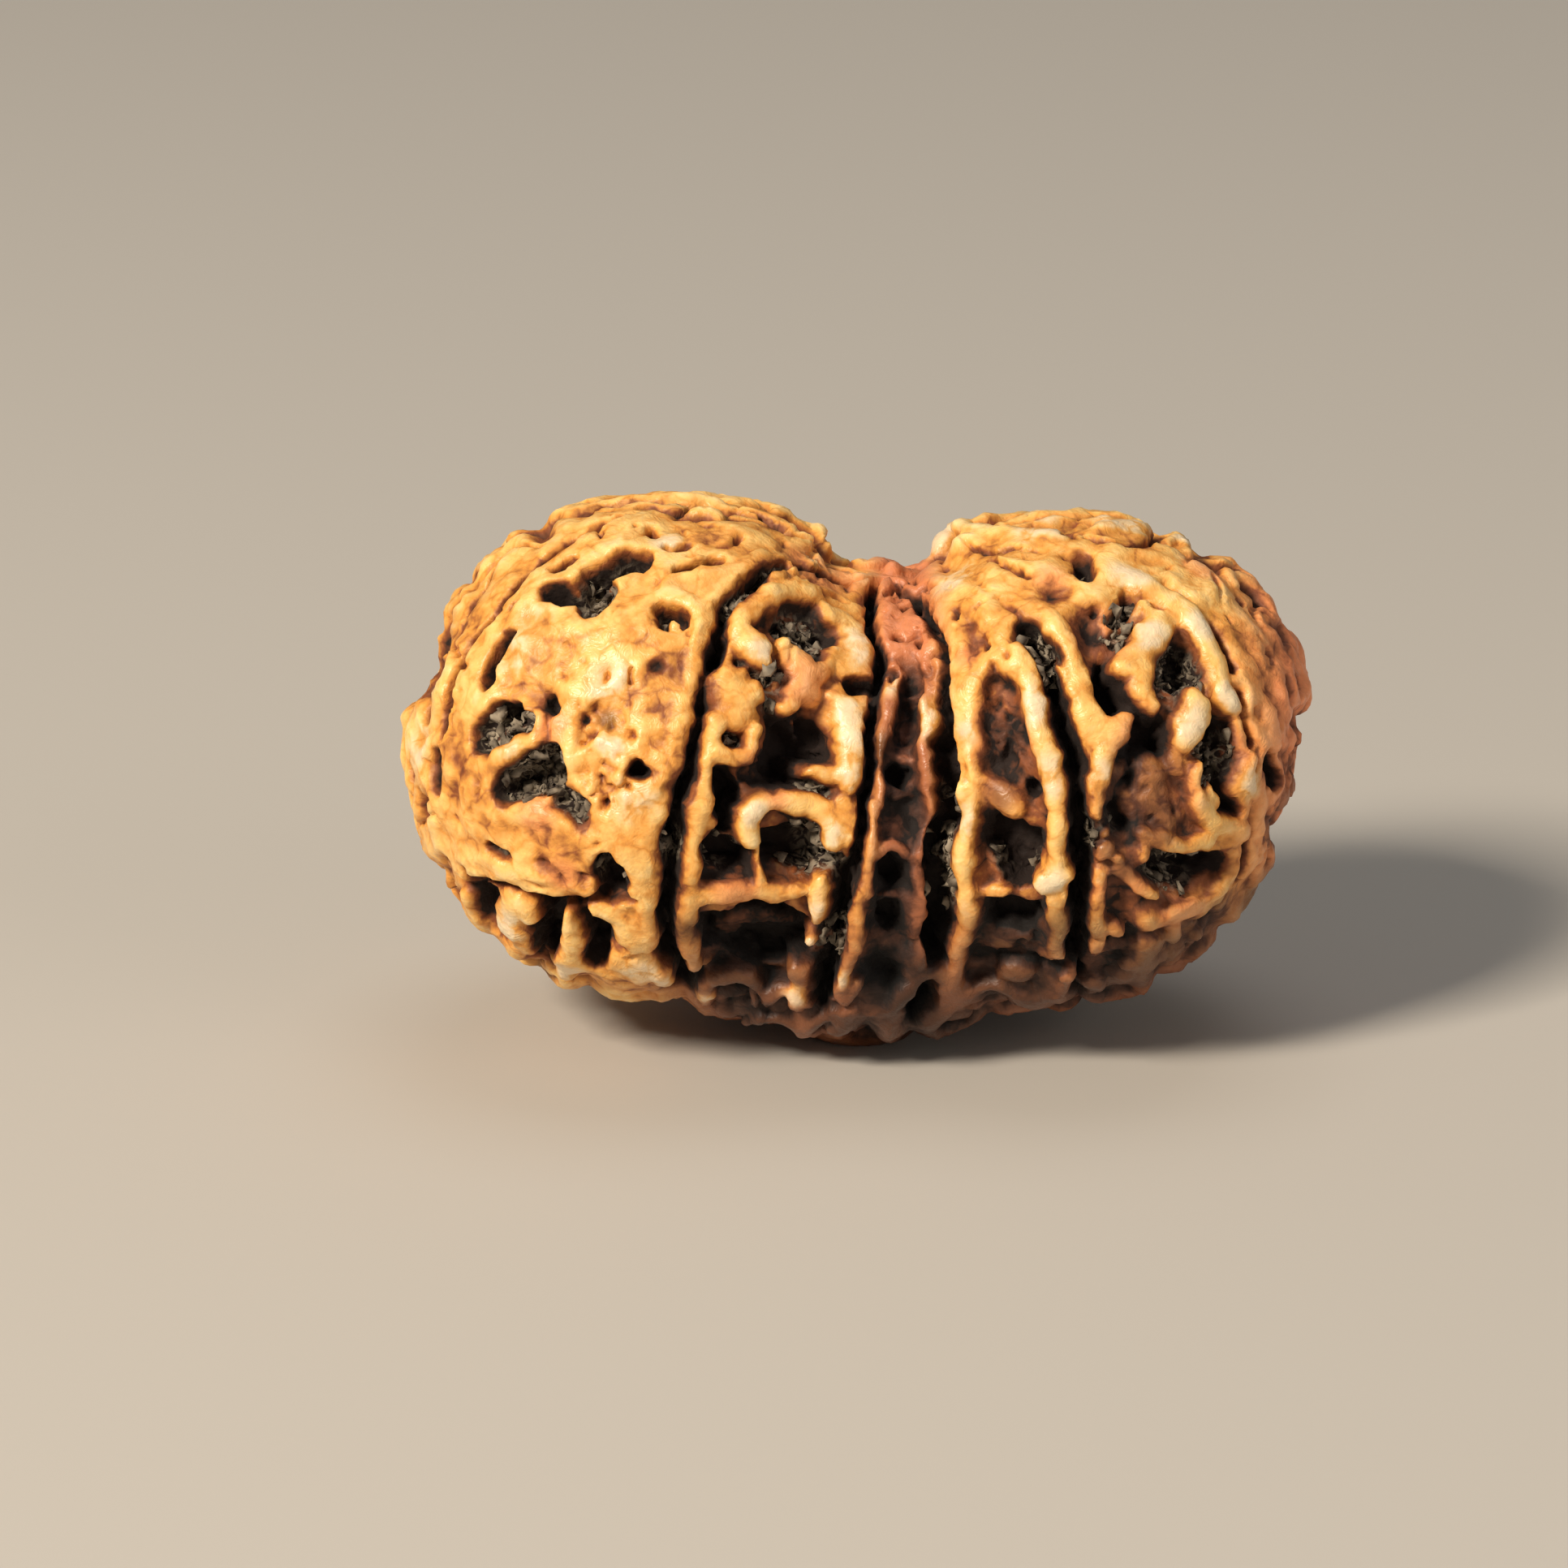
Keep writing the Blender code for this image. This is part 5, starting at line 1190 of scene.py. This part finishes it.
def fibre_tree():
    """Geometry nodes that scatter bent dried fibres over the deep parts of a surface."""
    tree = bpy.data.node_groups.new("pulp_fibres", "GeometryNodeTree")
    face = tree.interface
    face.new_socket("Geometry", in_out="INPUT", socket_type="NodeSocketGeometry")
    for name in ("Density", "Length", "Thickness"):
        face.new_socket(name, in_out="INPUT", socket_type="NodeSocketFloat")
    face.new_socket("Seed", in_out="INPUT", socket_type="NodeSocketInt")
    face.new_socket("Pulp", in_out="INPUT", socket_type="NodeSocketMaterial")
    face.new_socket("Geometry", in_out="OUTPUT", socket_type="NodeSocketGeometry")
    given = add(tree, "NodeGroupInput").outputs
    share = add(tree, "GeometryNodeInputNamedAttribute", {"Name": "pulp"}, data_type="FLOAT").outputs[0]
    per_area = add(tree, "ShaderNodeMath", {0: given["Density"], 1: 1.0 / (MM * MM)}, operation="MULTIPLY")
    density = add(tree, "ShaderNodeMath", {0: per_area.outputs[0], 1: share}, operation="MULTIPLY").outputs[0]
    spots = add(tree, "GeometryNodeDistributePointsOnFaces",
                {"Mesh": given["Geometry"], "Density": density, "Seed": given["Seed"]})
    half = add(tree, "ShaderNodeMath", {0: given["Length"], 1: 0.5}, operation="MULTIPLY").outputs[0]
    back = add(tree, "ShaderNodeMath", {0: half, 1: -1.0}, operation="MULTIPLY").outputs[0]
    lift = add(tree, "ShaderNodeMath", {0: half, 1: 0.5}, operation="MULTIPLY").outputs[0]
    start = add(tree, "ShaderNodeCombineXYZ", {"X": back}).outputs[0]
    middle = add(tree, "ShaderNodeCombineXYZ", {"Z": lift}).outputs[0]
    end = add(tree, "ShaderNodeCombineXYZ", {"X": half}).outputs[0]
    bend = add(tree, "GeometryNodeCurveQuadraticBezier",
               {"Resolution": 5, "Start": start, "Middle": middle, "End": end}).outputs[0]
    place = add(tree, "GeometryNodeSplineParameter").outputs["Factor"]
    from_middle = add(tree, "ShaderNodeMath", {0: place, 1: 0.5}, operation="SUBTRACT").outputs[0]
    spread = add(tree, "ShaderNodeMath", {0: from_middle}, operation="ABSOLUTE").outputs[0]
    taper = add(tree, "ShaderNodeMapRange", {"Value": spread, 1: 0.0, 2: 0.5, 3: 0.5, 4: 0.15}).outputs[0]
    radius = add(tree, "ShaderNodeMath", {0: taper, 1: given["Thickness"]}, operation="MULTIPLY").outputs[0]
    sized = add(tree, "GeometryNodeSetCurveRadius", {"Curve": bend, "Radius": radius}).outputs[0]
    ring = add(tree, "GeometryNodeCurvePrimitiveCircle", {"Resolution": 4, "Radius": 1.0}).outputs[0]
    strand_inputs = {"Curve": sized, "Profile Curve": ring, "Fill Caps": True}
    strand_node = add(tree, "GeometryNodeCurveToMesh", strand_inputs)
    if "Scale" in strand_node.inputs:
        tree.links.new(radius, strand_node.inputs["Scale"])
    strand = strand_node.outputs[0]
    turn = add(tree, "FunctionNodeRandomValue",
               {0: (-0.5, -0.45, -3.14), 1: (0.5, 0.45, 3.14), "Seed": given["Seed"]},
               data_type="FLOAT_VECTOR").outputs[0]
    turn_as_rotation = add(tree, "FunctionNodeEulerToRotation", {0: turn}).outputs[0]
    turned = add(tree, "FunctionNodeRotateRotation",
                 {"Rotation": spots.outputs["Rotation"], "Rotate By": turn_as_rotation},
                 rotation_space="LOCAL").outputs[0]
    size = add(tree, "FunctionNodeRandomValue", {2: 0.35, 3: 1.0, "Seed": given["Seed"]},
               data_type="FLOAT").outputs[1]
    laid = add(tree, "GeometryNodeInstanceOnPoints",
               {"Points": spots.outputs["Points"], "Instance": strand, "Rotation": turned, "Scale": size})
    real = add(tree, "GeometryNodeRealizeInstances", {"Geometry": laid.outputs[0]})
    wave = add(tree, "ShaderNodeTexNoise", {"Scale": 3000.0, "Detail": 1.0}).outputs[1]
    centred = add(tree, "ShaderNodeVectorMath", {0: wave, 1: (0.5, 0.5, 0.5)}, operation="SUBTRACT").outputs[0]
    wiggle = add(tree, "ShaderNodeVectorMath", {0: centred, "Scale": 0.9 * MM}, operation="SCALE").outputs[0]
    bent = add(tree, "GeometryNodeSetPosition", {"Geometry": real.outputs[0], "Offset": wiggle})
    smooth = add(tree, "GeometryNodeSetShadeSmooth", {"Geometry": bent.outputs[0]})
    coated = add(tree, "GeometryNodeSetMaterial", {"Geometry": smooth.outputs[0], "Material": given["Pulp"]})
    add(tree, "NodeGroupOutput", {"Geometry": coated.outputs[0]})
    return tree


def keep_result(thing):
    """Makes what an object's modifiers give its plain mesh, and removes them."""
    bpy.context.view_layer.update()
    made = bpy.data.meshes.new_from_object(thing.evaluated_get(bpy.context.evaluated_depsgraph_get()))
    thing.modifiers.clear()
    made.name = thing.name
    thing.data = made


def shape_with(thing, modifiers):
    """Runs modifiers with their settings on an object."""
    for kind, settings in modifiers:
        modifier = thing.modifiers.new(kind, kind)
        for name, value in settings.items():
            setattr(modifier, name, value)
    keep_result(thing)


def run_tree(thing, tree, values):
    """Runs a geometry node tree with its named inputs on an object."""
    modifier = thing.modifiers.new(tree.name, "NODES")
    modifier.node_group = tree
    sockets = {item.name: item.identifier for item in tree.interface.items_tree if item.in_out == "INPUT"}
    for name, value in values.items():
        modifier[sockets[name]] = value
    keep_result(thing)


def note(mesh, name, values):
    """Keeps one number for each vertex under this name."""
    kept = mesh.attributes.get(name) or mesh.attributes.new(name, "FLOAT", "POINT")
    kept.data.foreach_set("value", np.round(values, PLACE_DIGITS).astype(np.float32))


def note_depths(mesh, shift):
    """Keeps what the colours follow: depth below the outer form, how much lower a vertex lies than
    what is round it, how steep it stands, and the spots of pulp, colour, painted highlight and painted shade."""
    points = read_points(mesh) - shift
    depth = -outside(points)
    slants = np.empty(3 * len(points))
    mesh.vertex_normals.foreach_get("vector", slants)
    steep = 1.0 - (slants.reshape(-1, 3) * normals_at(points)).sum(axis=1)
    pairs = np.empty(2 * len(mesh.edges), dtype=np.int64)
    mesh.edges.foreach_get("vertices", pairs)
    first, second = pairs.reshape(-1, 2).T
    count = len(depth)
    ties = np.bincount(first, minlength=count) + np.bincount(second, minlength=count)

    def blurred(values, passes):
        for _ in range(passes):
            around = np.bincount(first, values[second], count) + np.bincount(second, values[first], count)
            values = 0.4 * values + 0.6 * around / np.maximum(ties, 1)
        return values

    note(mesh, "depth", depth)
    note(mesh, "hollow", depth - blurred(depth, HOLLOW_PASSES))
    note(mesh, "steep", blurred(steep, STEEP_PASSES))
    note(mesh, "pulp", pulp_share(points, depth))
    note(mesh, "pale", spot_share(points, FRONT_PALE, 0.0))
    note(mesh, "orange", spot_share(points, FRONT_ORANGE, 0.0))
    note(mesh, "rosy", spot_share(points, FRONT_ROSY, 0.3))
    note(mesh, "dirt_and_shade", spot_share(points, FRONT_DIRT_AND_SHADE, 0.5))


def spot_share(points, spots, depth):
    """How strongly each point lies in any of the front's spots, which sit this deep below the form."""
    share = np.zeros(len(points))
    for across, above, spread in spots:
        place = cast_from_front(((across, above),))[0]
        place = place - depth * normals_at(place[None])[0]
        distance = np.linalg.norm(points - place, axis=1)
        share = np.maximum(share, ease(1.6 - distance / spread))
    return share


def pulp_share(points, depth):
    """How much dried pulp lies at each point: in the front where it shows, and in patches elsewhere."""
    patches = ease(2.4 * noise_at(points, 2.0, 9.4))
    behind = ease(points[:, 1] / 3.0 - 0.2)
    share = patches * behind * ease((depth - 0.7) / 0.4)
    share = np.maximum(share, spot_share(points, FRONT_PULP, PULP_DEPTH))
    return share * ease((depth - 0.35) / 0.5)


def stone_material(colours):
    """Rudraksha stone: the hard woody wall of the seed, brushed clean of pulp and rubbed with oil
    and wax. Handled crowns are pale, smooth and a little translucent, flanks are red-brown, and the
    floors of pits stay dark, dry and gritty. Painted shade darkens crevices, steep flanks, the waist
    and the underside, and painted highlights whiten the pale spots."""
    material = bpy.data.materials.new("waxed_rudraksha_stone")
    material.use_nodes = True
    tree = material.node_tree
    shader = tree.nodes["Principled BSDF"]
    place = add(tree, "ShaderNodeTexCoord").outputs["Object"]
    depth = add(tree, "ShaderNodeAttribute", attribute_name="depth").outputs["Fac"]
    hollow = add(tree, "ShaderNodeAttribute", attribute_name="hollow").outputs["Fac"]
    steep = add(tree, "ShaderNodeAttribute", attribute_name="steep").outputs["Fac"]
    spots = {name: add(tree, "ShaderNodeAttribute", attribute_name=name).outputs["Fac"]
             for name in ("pale", "orange", "rosy", "dirt_and_shade")}
    # Stains 2.4 mm across turn the crowns orange, and ones 0.5 mm across break up every change of colour.
    stain = add(tree, "ShaderNodeTexNoise", {"Vector": place, "Scale": 420.0, "Detail": 3.0}).outputs[0]
    stain_shift = add(tree, "ShaderNodeMapRange", {"Value": stain, 1: 0.4, 2: 0.64, 3: -0.05, 4: 0.32}).outputs[0]
    mottle = add(tree, "ShaderNodeTexNoise", {"Vector": place, "Scale": 2000.0, "Detail": 3.0}).outputs[0]
    mottle_shift = add(tree, "ShaderNodeMapRange", {"Value": mottle, 1: 0.3, 2: 0.7, 3: -0.16, 4: 0.16}).outputs[0]
    sunk = add(tree, "ShaderNodeMath", {0: depth, 1: 0.75, 2: stain_shift}, operation="MULTIPLY_ADD").outputs[0]
    sunk = add(tree, "ShaderNodeMath", {0: sunk, 1: mottle_shift}, operation="ADD").outputs[0]
    # Hairline veins 1.2 mm apart wander over the crowns.
    sway = add(tree, "ShaderNodeTexNoise", {"Vector": place, "Scale": 1300.0, "Detail": 2.0}).outputs["Color"]
    swayed = add(tree, "ShaderNodeVectorMath", {0: sway, 1: (0.0009,) * 3, 2: place}, operation="MULTIPLY_ADD")
    cells = add(tree, "ShaderNodeTexVoronoi", {"Vector": swayed.outputs[0], "Scale": 840.0},
                feature="DISTANCE_TO_EDGE").outputs["Distance"]
    vein_shift = add(tree, "ShaderNodeMapRange", {"Value": cells, 1: 0.0, 2: 0.09, 3: 0.16, 4: 0.0}).outputs[0]
    sunk = add(tree, "ShaderNodeMath", {0: sunk, 1: vein_shift}, operation="ADD").outputs[0]
    # Painted shade in part: crevices (hollow) and steep flanks are pushed darker, while convex crests turn paler as
    # real wear; the pale spots are pushed paler, partly as a painted highlight, and the orange spots deeper in
    # colour.
    for share, weight in ((hollow, 1.0), (steep, 0.6), (spots["pale"], -0.13), (spots["orange"], 0.14)):
        sunk = add(tree, "ShaderNodeMath", {0: share, 1: weight, 2: sunk}, operation="MULTIPLY_ADD").outputs[0]
    stops = add(tree, "ShaderNodeMapRange", {"Value": sunk, 1: -0.5, 2: 1.7, 3: 0.0, 4: 1.0}).outputs[0]
    ramp = add(tree, "ShaderNodeValToRGB", {"Fac": stops})
    band = ramp.color_ramp
    band.elements[0].position = 0.08
    band.elements[0].color = colours.worn
    band.elements[1].position = 0.74
    band.elements[1].color = colours.floor
    for position, colour in ((0.27, colours.crown), (0.42, colours.body), (0.56, colours.flank)):
        stop = band.elements.new(position)
        stop.color = colour
    # Dried pulp greys the floors that it clings to, in threads 0.3 mm apart.
    pulp = add(tree, "ShaderNodeAttribute", attribute_name="pulp").outputs["Fac"]
    threads = add(tree, "ShaderNodeTexNoise", {"Vector": place, "Scale": 3000.0, "Detail": 3.0, "Distortion": 1.2})
    thready = add(tree, "ShaderNodeMapRange", {"Value": threads.outputs[0], 1: 0.46, 2: 0.6}).outputs[0]
    pulp_cover = add(tree, "ShaderNodeMath", {0: pulp, 1: thready}, operation="MULTIPLY").outputs[0]
    greyed = add(tree, "ShaderNodeMix", {"Factor": pulp_cover, "A": ramp.outputs[0], "B": colours.fibre},
                 data_type="RGBA")
    # Crests in the pale spots are whitened nearly white, partly handling wear and partly a painted highlight.
    on_crest = add(tree, "ShaderNodeMapRange", {"Value": sunk, 1: 0.3, 2: 0.0, 3: 0.0, 4: 0.5}).outputs[0]
    bleach_and_highlight_share = add(tree, "ShaderNodeMath", {0: on_crest, 1: spots["pale"]}, operation="MULTIPLY").outputs[0]
    whitened = add(tree, "ShaderNodeMix",
                   {"Factor": bleach_and_highlight_share, "A": greyed.outputs["Result"], "B": colours.bleach_and_highlight},
                   data_type="RGBA")
    # The waist, the right end and the underside are pinker.
    axes = add(tree, "ShaderNodeSeparateXYZ", {"Vector": place}).outputs
    right_end = add(tree, "ShaderNodeMapRange", {"Value": axes["X"], 1: 0.0115, 2: 0.0138}).outputs[0]
    from_waist = add(tree, "ShaderNodeMath", {0: axes["X"], 1: 0.0015}, operation="SUBTRACT").outputs[0]
    waist_gap = add(tree, "ShaderNodeMath", {0: from_waist}, operation="ABSOLUTE").outputs[0]
    waist = add(tree, "ShaderNodeMapRange", {"Value": waist_gap, 1: 0.0016, 2: 0.0006}).outputs[0]
    low = add(tree, "ShaderNodeMapRange", {"Value": axes["Z"], 1: 0.0074, 2: 0.003}).outputs[0]
    off_left = add(tree, "ShaderNodeMapRange", {"Value": axes["X"], 1: -0.0075, 2: -0.0045}).outputs[0]
    low_share = add(tree, "ShaderNodeMath", {0: low, 1: off_left}, operation="MULTIPLY").outputs[0]
    either = add(tree, "ShaderNodeMath", {0: right_end, 1: waist}, operation="MAXIMUM").outputs[0]
    any_of = add(tree, "ShaderNodeMath", {0: either, 1: low_share}, operation="MAXIMUM").outputs[0]
    spotted = add(tree, "ShaderNodeMath", {0: spots["rosy"], 1: 0.6}, operation="MULTIPLY").outputs[0]
    rosy = add(tree, "ShaderNodeMath", {0: any_of, 1: spotted}, operation="MAXIMUM").outputs[0]
    off_pale = add(tree, "ShaderNodeMapRange", {"Value": spots["pale"], 1: 0.0, 2: 1.0, 3: 0.84, 4: 0.1}).outputs[0]
    blush_share = add(tree, "ShaderNodeMath", {0: rosy, 1: off_pale}, operation="MULTIPLY").outputs[0]
    blushed = add(tree, "ShaderNodeMix",
                  {"Factor": blush_share, "A": whitened.outputs["Result"], "B": colours.blush},
                  data_type="RGBA", blend_type="COLOR")
    # Painted shade: the recessed waist below its top and the underside of the front are darker, and so are the
    # dirt-and-shade spots, which are partly real dirt.
    shade = add(tree, "ShaderNodeValue").outputs[0]
    shade.default_value = 1.0
    under_top = add(tree, "ShaderNodeMapRange", {"Value": axes["Z"], 1: 0.0143, 2: 0.0128}).outputs[0]
    waist_low = add(tree, "ShaderNodeMath", {0: waist, 1: under_top}, operation="MULTIPLY").outputs[0]
    for share, weight in ((waist, -0.27), (waist_low, -0.34), (low_share, -0.72), (spots["dirt_and_shade"], -0.6)):
        left = add(tree, "ShaderNodeMath", {0: share, 1: weight, 2: 1.0}, operation="MULTIPLY_ADD").outputs[0]
        shade = add(tree, "ShaderNodeMath", {0: shade, 1: left}, operation="MULTIPLY").outputs[0]
    # The pale spots keep a fixed 0.88 instead of the painted shade, so they stand out as painted highlights.
    dim = add(tree, "ShaderNodeMapRange", {"Value": spots["pale"], 3: shade, 4: 0.88}).outputs[0]
    dimmed = add(tree, "ShaderNodeVectorMath", {0: blushed.outputs["Result"], "Scale": dim}, operation="SCALE")
    # Fine flecks 0.3 mm across darken and pale the surface.
    fleck = add(tree, "ShaderNodeTexNoise", {"Vector": place, "Scale": 3300.0, "Detail": 3.0}).outputs[0]
    fleck_tone = add(tree, "ShaderNodeMapRange", {"Value": fleck, 1: 0.3, 2: 0.7, 3: 0.93, 4: 1.07}).outputs[0]
    toned = add(tree, "ShaderNodeVectorMath", {0: dimmed.outputs[0], "Scale": fleck_tone}, operation="SCALE")
    tree.links.new(toned.outputs[0], shader.inputs["Base Color"])
    # Wax shines on the crowns and not on the dry floors.
    waxed = add(tree, "ShaderNodeMapRange", {"Value": sunk, 1: 0.2, 2: 1.1, 3: 0.38, 4: 0.85}).outputs[0]
    worn = add(tree, "ShaderNodeMath", {0: fleck, 1: 0.2, 2: -0.1}, operation="MULTIPLY_ADD").outputs[0]
    rough = add(tree, "ShaderNodeMath", {0: waxed, 1: worn}, operation="ADD").outputs[0]
    tree.links.new(rough, shader.inputs["Roughness"])
    shader.inputs["IOR"].default_value = 1.5
    shader.inputs["Metallic"].default_value = 0.0
    shader.inputs["Subsurface Weight"].default_value = 0.05
    shader.inputs["Subsurface Radius"].default_value = (1.0, 0.45, 0.2)
    shader.inputs["Subsurface Scale"].default_value = 0.5 * MM
    # Wood-fibre grain 0.15 mm apart lies over wrinkles 0.5 mm apart.
    fibres = add(tree, "ShaderNodeTexNoise", {"Vector": place, "Scale": 6700.0, "Detail": 3.0}).outputs[0]
    grain = add(tree, "ShaderNodeBump", {"Strength": 0.3, "Distance": 0.06 * MM, "Height": fibres}).outputs[0]
    folds = add(tree, "ShaderNodeTexNoise", {"Vector": place, "Scale": 2000.0, "Detail": 2.0, "Distortion": 1.5})
    off_fold = add(tree, "ShaderNodeMath", {0: folds.outputs[0], 1: 0.5}, operation="SUBTRACT").outputs[0]
    ridge = add(tree, "ShaderNodeMath", {0: off_fold}, operation="ABSOLUTE").outputs[0]
    bump = add(tree, "ShaderNodeBump",
               {"Strength": 0.22, "Distance": 0.3 * MM, "Height": ridge, "Normal": grain})
    tree.links.new(bump.outputs[0], shader.inputs["Normal"])
    return material


def pulp_material(colours):
    """Dried fruit pulp: thin matt plant fibre, grey-brown and uneven, with no shine."""
    material = bpy.data.materials.new("dried_fruit_pulp")
    material.use_nodes = True
    tree = material.node_tree
    shader = tree.nodes["Principled BSDF"]
    place = add(tree, "ShaderNodeTexCoord").outputs["Object"]
    # Patches 0.5 mm across are paler or browner.
    patch = add(tree, "ShaderNodeTexNoise", {"Vector": place, "Scale": 2000.0, "Detail": 3.0}).outputs[0]
    tone = add(tree, "ShaderNodeMapRange", {"Value": patch, 1: 0.3, 2: 0.7}).outputs[0]
    mixed = add(tree, "ShaderNodeMix", {"Factor": tone, "A": colours.floor, "B": colours.fibre}, data_type="RGBA")
    tree.links.new(mixed.outputs["Result"], shader.inputs["Base Color"])
    shader.inputs["Roughness"].default_value = 0.85
    return material


class RUDRAKSHA_OT_seed(bpy.types.Operator):
    """Carve the joined pair of seeds."""

    bl_idname = "object.rudraksha_seed"
    bl_label = "Rudraksha seed"

    def execute(self, context):
        form = context.scene.rudraksha_form
        bpy.ops.mesh.primitive_ico_sphere_add(subdivisions=9, radius=1.0)
        seed = context.object
        seed.name = "rudraksha_stone"
        directions = read_points(seed.data)
        directions /= np.linalg.norm(directions, axis=1, keepdims=True)
        points = cast_from_heart(directions)
        normals = normals_at(points)
        shift = frame_shift(points)
        heights = carve(points, normals, form)
        places = np.round(points + normals * heights[:, None] + shift, PLACE_DIGITS)
        places[:, 2] = np.maximum(places[:, 2], 0.0)
        seed.data.vertices.foreach_set("co", places.ravel())
        seed.data.update()
        shape_with(seed, (("REMESH", {"mode": "VOXEL", "voxel_size": VOXEL}),))
        note(seed.data, "depth", -outside(read_points(seed.data) - shift))
        material = stone_material(context.scene.rudraksha_colours)
        run_tree(seed, grain_tree(), {
            "Grain Size": form.grain_size / MM, "Grain Height": form.grain_height / MM,
            "Lump Size": form.rugged_size / MM, "Rugged Height": form.rugged_height / MM,
            "Grit Height": form.grit_height / MM, "Stone": material})
        shape_with(seed, (("TRIANGULATE", {}),))
        shape_with(seed, (("DECIMATE", {"ratio": min(1.0, form.triangles / len(seed.data.polygons))}),))
        low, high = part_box("conjoined_seed")
        fitted = np.clip(read_points(seed.data), np.array(low) / MM, np.array(high) / MM)
        seed.data.vertices.foreach_set("co", fitted.ravel())
        note_depths(seed.data, shift)
        seed.data.transform(Matrix.Scale(MM, 4))
        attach(seed, "root")
        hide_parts("conjoined_seed")
        return {"FINISHED"}


class RUDRAKSHA_OT_fibres(bpy.types.Operator):
    """Lay dried pulp fibres in the pits and grooves."""

    bl_idname = "object.rudraksha_fibres"
    bl_label = "Pulp fibres"

    def execute(self, context):
        fibre = context.scene.rudraksha_fibres
        ground = bpy.data.objects["rudraksha_stone"]
        pulp = bpy.data.objects.new("pulp_fibres", ground.data.copy())
        context.scene.collection.objects.link(pulp)
        run_tree(pulp, fibre_tree(), {
            "Density": fibre.density, "Length": fibre.length, "Thickness": fibre.thickness,
            "Seed": fibre.seed, "Pulp": pulp_material(context.scene.rudraksha_colours)})
        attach(pulp, "root")
        return {"FINISHED"}


def aim(thing, place, target):
    """Puts an object at a place, looking at a target."""
    thing.location = place
    thing.rotation_euler = (Vector(target) - Vector(place)).to_track_quat("-Z", "Y").to_euler()


def softbox(name, power, size, place, target, colour):
    """A square soft light."""
    data = bpy.data.lights.new(name, "AREA")
    data.energy = power
    data.size = size
    data.color = colour[:3]
    light = bpy.data.objects.new(name, data)
    bpy.context.scene.collection.objects.link(light)
    aim(light, place, target)


class RUDRAKSHA_OT_stage(bpy.types.Operator):
    """Set the floor, the lights and the camera."""

    bl_idname = "scene.rudraksha_stage"
    bl_label = "Stage"

    def execute(self, context):
        studio = context.scene.rudraksha_studio
        bpy.ops.mesh.primitive_circle_add(vertices=96, radius=2.5, fill_type="NGON")
        floor = context.object
        floor.name = "studio_floor"
        material = bpy.data.materials.new("pale_matt_board")
        material.use_nodes = True
        tree = material.node_tree
        shader = tree.nodes["Principled BSDF"]
        shader.inputs["Base Color"].default_value = studio.floor_colour
        shader.inputs["Roughness"].default_value = 0.75
        floor.data.materials.append(material)
        middle = (0.0, 0.0, 9.0 * MM)
        softbox("key", studio.key_power, 0.13, (-0.31, -0.33, 0.36), middle, linear("#fff0dc"))
        softbox("fill", studio.fill_power, 0.3, (0.42, -0.3, 0.2), middle, linear("#fff4ea"))
        softbox("top", studio.top_power, 0.3, (0.05, 0.12, 0.5), middle, linear("#ffffff"))
        world = bpy.data.worlds.new("pale_room")
        world.use_nodes = True
        world.node_tree.nodes["Background"].inputs["Color"].default_value = linear("#f4f1ec")
        world.node_tree.nodes["Background"].inputs["Strength"].default_value = studio.world_strength
        context.scene.world = world
        context.scene.view_settings.view_transform = "Standard"
        data = bpy.data.cameras.new("front_view")
        data.lens = LENS
        data.sensor_width = SENSOR
        data.clip_start = 0.01
        data.clip_end = 20.0
        camera = bpy.data.objects.new("front_view", data)
        context.scene.collection.objects.link(camera)
        target = EYE_AIM[0] * RIGHT + EYE_AIM[1] * UP
        eye = target + EYE_DISTANCE * TOWARDS_EYE
        shift = frame_shift(cast_from_heart(sphere_directions()))
        aim(camera, (eye + shift) * MM, (target + shift) * MM)
        context.scene.camera = camera
        return {"FINISHED"}


def sphere_directions():
    """Directions all round, closely and evenly spread."""
    count = 20000
    rise = 1.0 - 2.0 * (np.arange(count) + 0.5) / count
    turn = np.arange(count) * math.pi * (3.0 - math.sqrt(5.0))
    flat = np.sqrt(1.0 - rise * rise)
    return np.stack((np.cos(turn) * flat, np.sin(turn) * flat, rise), axis=1)


class RUDRAKSHA_PT_panel(bpy.types.Panel):
    """The pieces and their sizes."""

    bl_idname = "RUDRAKSHA_PT_panel"
    bl_label = "Rudraksha"
    bl_space_type = "VIEW_3D"
    bl_region_type = "UI"
    bl_category = "Rudraksha"

    def draw(self, context):
        scene = context.scene
        for heading, settings, operator in (
                ("Stone", scene.rudraksha_form, "object.rudraksha_seed"),
                ("Colours", scene.rudraksha_colours, None),
                ("Fibres", scene.rudraksha_fibres, "object.rudraksha_fibres"),
                ("Studio", scene.rudraksha_studio, "scene.rudraksha_stage")):
            box = self.layout.box()
            box.label(text=heading)
            for name in settings.__annotations__:
                box.prop(settings, name)
            if operator:
                box.operator(operator)


CLASSES = (SeedForm, PulpFibres, StoneColours, Studio, RUDRAKSHA_OT_seed, RUDRAKSHA_OT_fibres,
           RUDRAKSHA_OT_stage, RUDRAKSHA_PT_panel)


def register():
    for kind in CLASSES:
        bpy.utils.register_class(kind)
    bpy.types.Scene.rudraksha_form = PointerProperty(type=SeedForm)
    bpy.types.Scene.rudraksha_fibres = PointerProperty(type=PulpFibres)
    bpy.types.Scene.rudraksha_colours = PointerProperty(type=StoneColours)
    bpy.types.Scene.rudraksha_studio = PointerProperty(type=Studio)


def unregister():
    for name in ("rudraksha_form", "rudraksha_fibres", "rudraksha_colours", "rudraksha_studio"):
        delattr(bpy.types.Scene, name)
    for kind in reversed(CLASSES):
        bpy.utils.unregister_class(kind)


def main():
    register()
    bpy.ops.object.rudraksha_seed()
    bpy.ops.object.rudraksha_fibres()
    bpy.ops.scene.rudraksha_stage()


if __name__ == "__main__":
    main()
